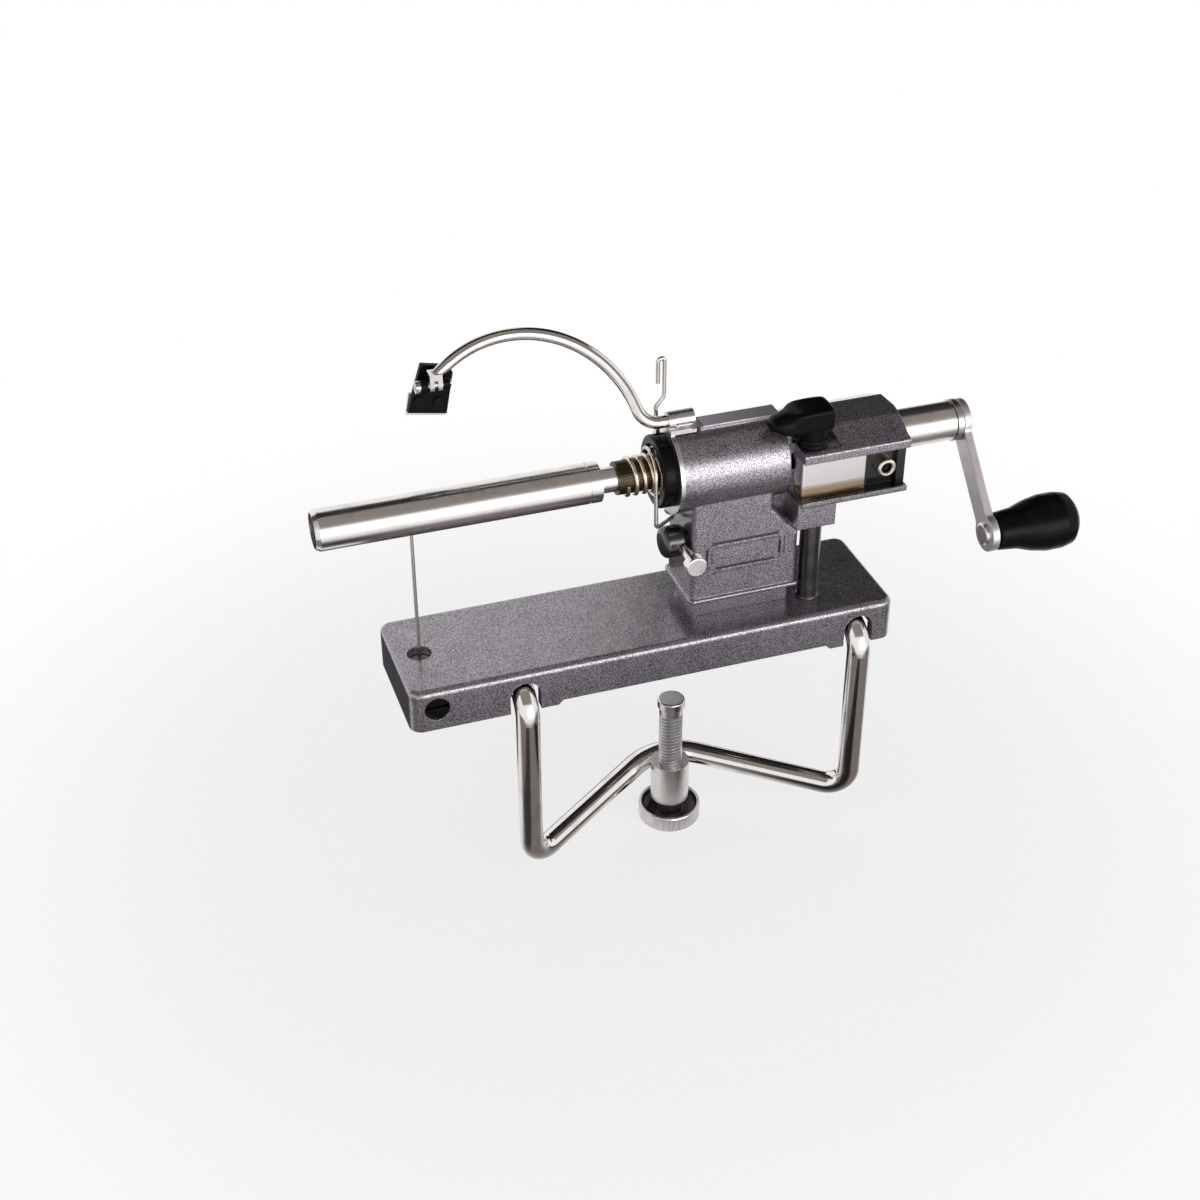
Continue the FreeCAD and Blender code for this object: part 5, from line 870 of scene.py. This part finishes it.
def make_floor(look, level):
    """A pale floor that keeps the shadow near the object and is white further out."""
    bpy.ops.object.select_all(action="DESELECT")
    bpy.ops.mesh.primitive_plane_add(size=FLOOR_SIZE, location=(0.0, 0.0, level))
    floor = bpy.context.object
    floor.name = "floor"
    paint = Paint("floor")
    speckle = paint.noise(2.0 * MM, detail=2.0)
    grey = look.floor_grey
    pale = paint.mix(speckle, (grey,) * 3, (grey + FLOOR_SPECKLE,) * 3)
    paint.set(Base_Color=pale, Roughness=0.85, Specular_IOR_Level=0.15)
    away = paint.add("ShaderNodeVectorMath", {"operation": "LENGTH"}, {0: paint.place}).outputs["Value"]
    far = Shade(paint, away).step(look.floor_near, look.floor_far)
    veil = look.floor_veil + (1 - look.floor_veil) * far
    white = white_light(paint, "ShaderNodeEmission", 1.0)
    veiled = white_where_clear(paint, paint.surface.outputs[0], white, veil)
    paint.feed(paint.output.inputs["Surface"], veiled)
    floor.data.materials.append(paint.material)
    floor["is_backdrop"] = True


def make_backdrop(look):
    """The world: white to cameras and mirrors, and a plain ambient light on all else."""
    world = bpy.data.worlds.new("studio")
    bpy.context.scene.world = world
    nodes = Nodes(world)
    ambient = white_light(nodes, "ShaderNodeBackground", look.ambient)
    white = white_light(nodes, "ShaderNodeBackground", 1.0)
    nodes.add("ShaderNodeOutputWorld", {}, {"Surface": white_where_clear(nodes, ambient, white)})


def make_lamp(name, middle, towards, distance, size, watts):
    """A soft rectangular lamp that the camera doesn't see, turned to the object."""
    lamp = bpy.data.lights.new(name, "AREA")
    lamp.shape = "RECTANGLE"
    lamp.size, lamp.size_y = size
    lamp.energy = watts
    thing = bpy.data.objects.new(name, lamp)
    bpy.context.scene.collection.objects.link(thing)
    thing.location = middle + towards * distance
    thing.visible_camera = False
    aim(thing, -towards)


def fading(paint, number, fade):
    """1 inside a card one metre wide and 0 at its edge, soft over a share of its half width."""
    place = paint.place_part(number)
    margin = 0.5 - place.math("ABSOLUTE", place)
    return margin.step(0.0, 0.5 * fade)


def make_card(name, place, towards, size, colour, fade=0.02):
    """A card that only mirrors see, so that bright metal has something dark to show."""
    bpy.ops.mesh.primitive_plane_add(size=1.0)
    card = bpy.context.object
    card.name = name
    card.scale = (*size, 1.0)
    card.location = place
    aim(card, towards)
    paint = Paint(name)
    cloth = paint.noise(40.0 * MM, detail=1.0)
    shade = paint.mix(cloth, colour, tuple(part * 0.8 for part in colour))
    across = fading(paint, 0, fade)
    along = fading(paint, 1, fade)
    paint.set(
        Base_Color=(0.0, 0.0, 0.0, 1.0), Roughness=1.0, Specular_IOR_Level=0.0, Emission_Strength=1.0,
        Emission_Color=shade, Alpha=(across * along).clamped())
    card.data.materials.append(paint.material)
    card.visible_camera = False
    card.visible_diffuse = False
    card.visible_shadow = False
    card.visible_transmission = False
    card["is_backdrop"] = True


# Cards: name, elevation of the lower edge and of the upper edge (past 90 is the back), colour.
CARDS = (
    ("card_back", 94.0, 134.0, (0.020, 0.016, 0.013)),
    ("card_top", 36.0, 93.5, (0.30, 0.27, 0.25)),
)
# Cards on the floor: name, middle, size, colour, softness. Upright rods and faces mirror them.
FLOOR_CARDS = (
    ("card_ground", (-0.03, -0.130), (1.00, 0.260), (0.22, 0.20, 0.19), 0.3),
    ("card_behind", (-0.05, 0.125), (0.50, 0.190), (0.045, 0.043, 0.045), 0.3),
    ("card_left_leg", (-0.088, -0.090), (0.070, 0.160), (0.050, 0.044, 0.041), 0.5),
    ("card_right_leg", (0.048, -0.090), (0.070, 0.160), (0.022, 0.018, 0.016), 0.5),
    ("card_base", (-0.03, -0.165), (0.60, 0.050), (0.36, 0.34, 0.36), 0.4),
    ("card_column", (-0.02, -0.210), (0.50, 0.070), (0.80, 0.76, 0.82), 0.5),
)
# The upright card behind, to the right: name, middle, direction it faces, size, colour, softness.
SIDE_CARD = (
    "card_beside", Vector((0.50, 0.57, 0.42)), Vector((0.0, -1.0, 0.0)), (0.64, 0.70), (0.010, 0.009, 0.010),
    0.2)
# Distance of the first cards from the object, and their width.
CARD_DISTANCE = 1.5
CARD_WIDTH = 3.2
# Height of the lowest floor card above the floor, and of each next one above the last, in millimetres.
CARD_RISE, CARD_STEP = 0.5, 0.2
# The lamp's distance, width and height, and the camera's aim, sideways shift, and nearest and furthest view.
KEY_DISTANCE = 1.1
KEY_SIZE = (1.15, 0.62)
CAMERA_AIM = Vector((-10.9, 0.0, 23.25)) * MM
CAMERA_SHIFT = -0.0084
CAMERA_NEAR, CAMERA_FAR = 0.01, 20.0


def make_camera(scene, look):
    """The camera at the photograph's angle."""
    camera = bpy.data.objects.new("camera", bpy.data.cameras.new("camera"))
    scene.collection.objects.link(camera)
    camera.data.sensor_width = 36.0
    camera.data.lens = look.lens
    camera.data.clip_start, camera.data.clip_end = CAMERA_NEAR, CAMERA_FAR
    camera.data.shift_x = CAMERA_SHIFT
    back = direction(look.azimuth, look.elevation)
    camera.location = CAMERA_AIM + back * look.distance
    aim(camera, -back)
    scene.camera = camera


class PEELER_OT_stage(bpy.types.Operator):
    """Adds the floor, the backdrop, the lamp, the cards and the camera"""
    bl_idname = "peeler.stage"
    bl_label = "Studio"

    def execute(self, context):
        look = context.scene.peeler_stage
        scene = context.scene
        low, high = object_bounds()
        middle = (low + high) / 2
        level = low.z - look.floor_gap
        make_floor(look, level)
        make_backdrop(look)
        make_lamp(
            "key", middle, direction(look.key_azimuth, look.key_elevation), KEY_DISTANCE, KEY_SIZE,
            look.key_power)
        for name, bottom, top, colour in CARDS:
            towards = direction(0.0, math.radians((bottom + top) / 2))
            height = 2 * CARD_DISTANCE * math.tan(math.radians((top - bottom) / 2))
            make_card(name, middle + towards * CARD_DISTANCE, -towards, (CARD_WIDTH, height), colour)
        for number, (name, place, size, colour, fade) in enumerate(FLOOR_CARDS):
            rise = level + (CARD_RISE + CARD_STEP * number) * MM
            make_card(name, Vector((*place, rise)), Vector((0.0, 0.0, 1.0)), size, colour, fade)
        make_card(*SIDE_CARD)
        make_camera(scene, look)
        scene.view_settings.view_transform = "Standard"
        return {"FINISHED"}


class PEELER_PT_panel(bpy.types.Panel):
    """Lists the sizes and colours and the operators"""
    bl_label = "Apple Peeler"
    bl_idname = "PEELER_PT_panel"
    bl_space_type = "VIEW_3D"
    bl_region_type = "UI"
    bl_category = "Peeler"

    def draw(self, context):
        for group in (context.scene.peeler_look, context.scene.peeler_stage):
            box = self.layout.box()
            for name in group.__annotations__:
                box.prop(group, name)
        for operator in OPERATORS:
            self.layout.operator(operator.bl_idname)


GROUPS = {"peeler_look": PeelerLook, "peeler_stage": PeelerStage}
OPERATORS = (
    PEELER_OT_finishes, PEELER_OT_clamp_parts, PEELER_OT_knob, PEELER_OT_small_screws, PEELER_OT_lever,
    PEELER_OT_stage)


def register():
    """Registers the classes, and adds the two groups to the scene."""
    for thing in (*GROUPS.values(), *OPERATORS, PEELER_PT_panel):
        bpy.utils.register_class(thing)
    for name, group in GROUPS.items():
        setattr(bpy.types.Scene, name, bpy.props.PointerProperty(type=group))


def unregister():
    """Takes the groups and the classes away again."""
    for name in GROUPS:
        delattr(bpy.types.Scene, name)
    for thing in reversed((*GROUPS.values(), *OPERATORS, PEELER_PT_panel)):
        bpy.utils.unregister_class(thing)


def main():
    """Registers everything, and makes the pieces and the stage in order."""
    register()
    for operator in OPERATORS:
        family, name = operator.bl_idname.split(".")
        getattr(getattr(bpy.ops, family), name)()


if __name__ == "__main__":
    main()
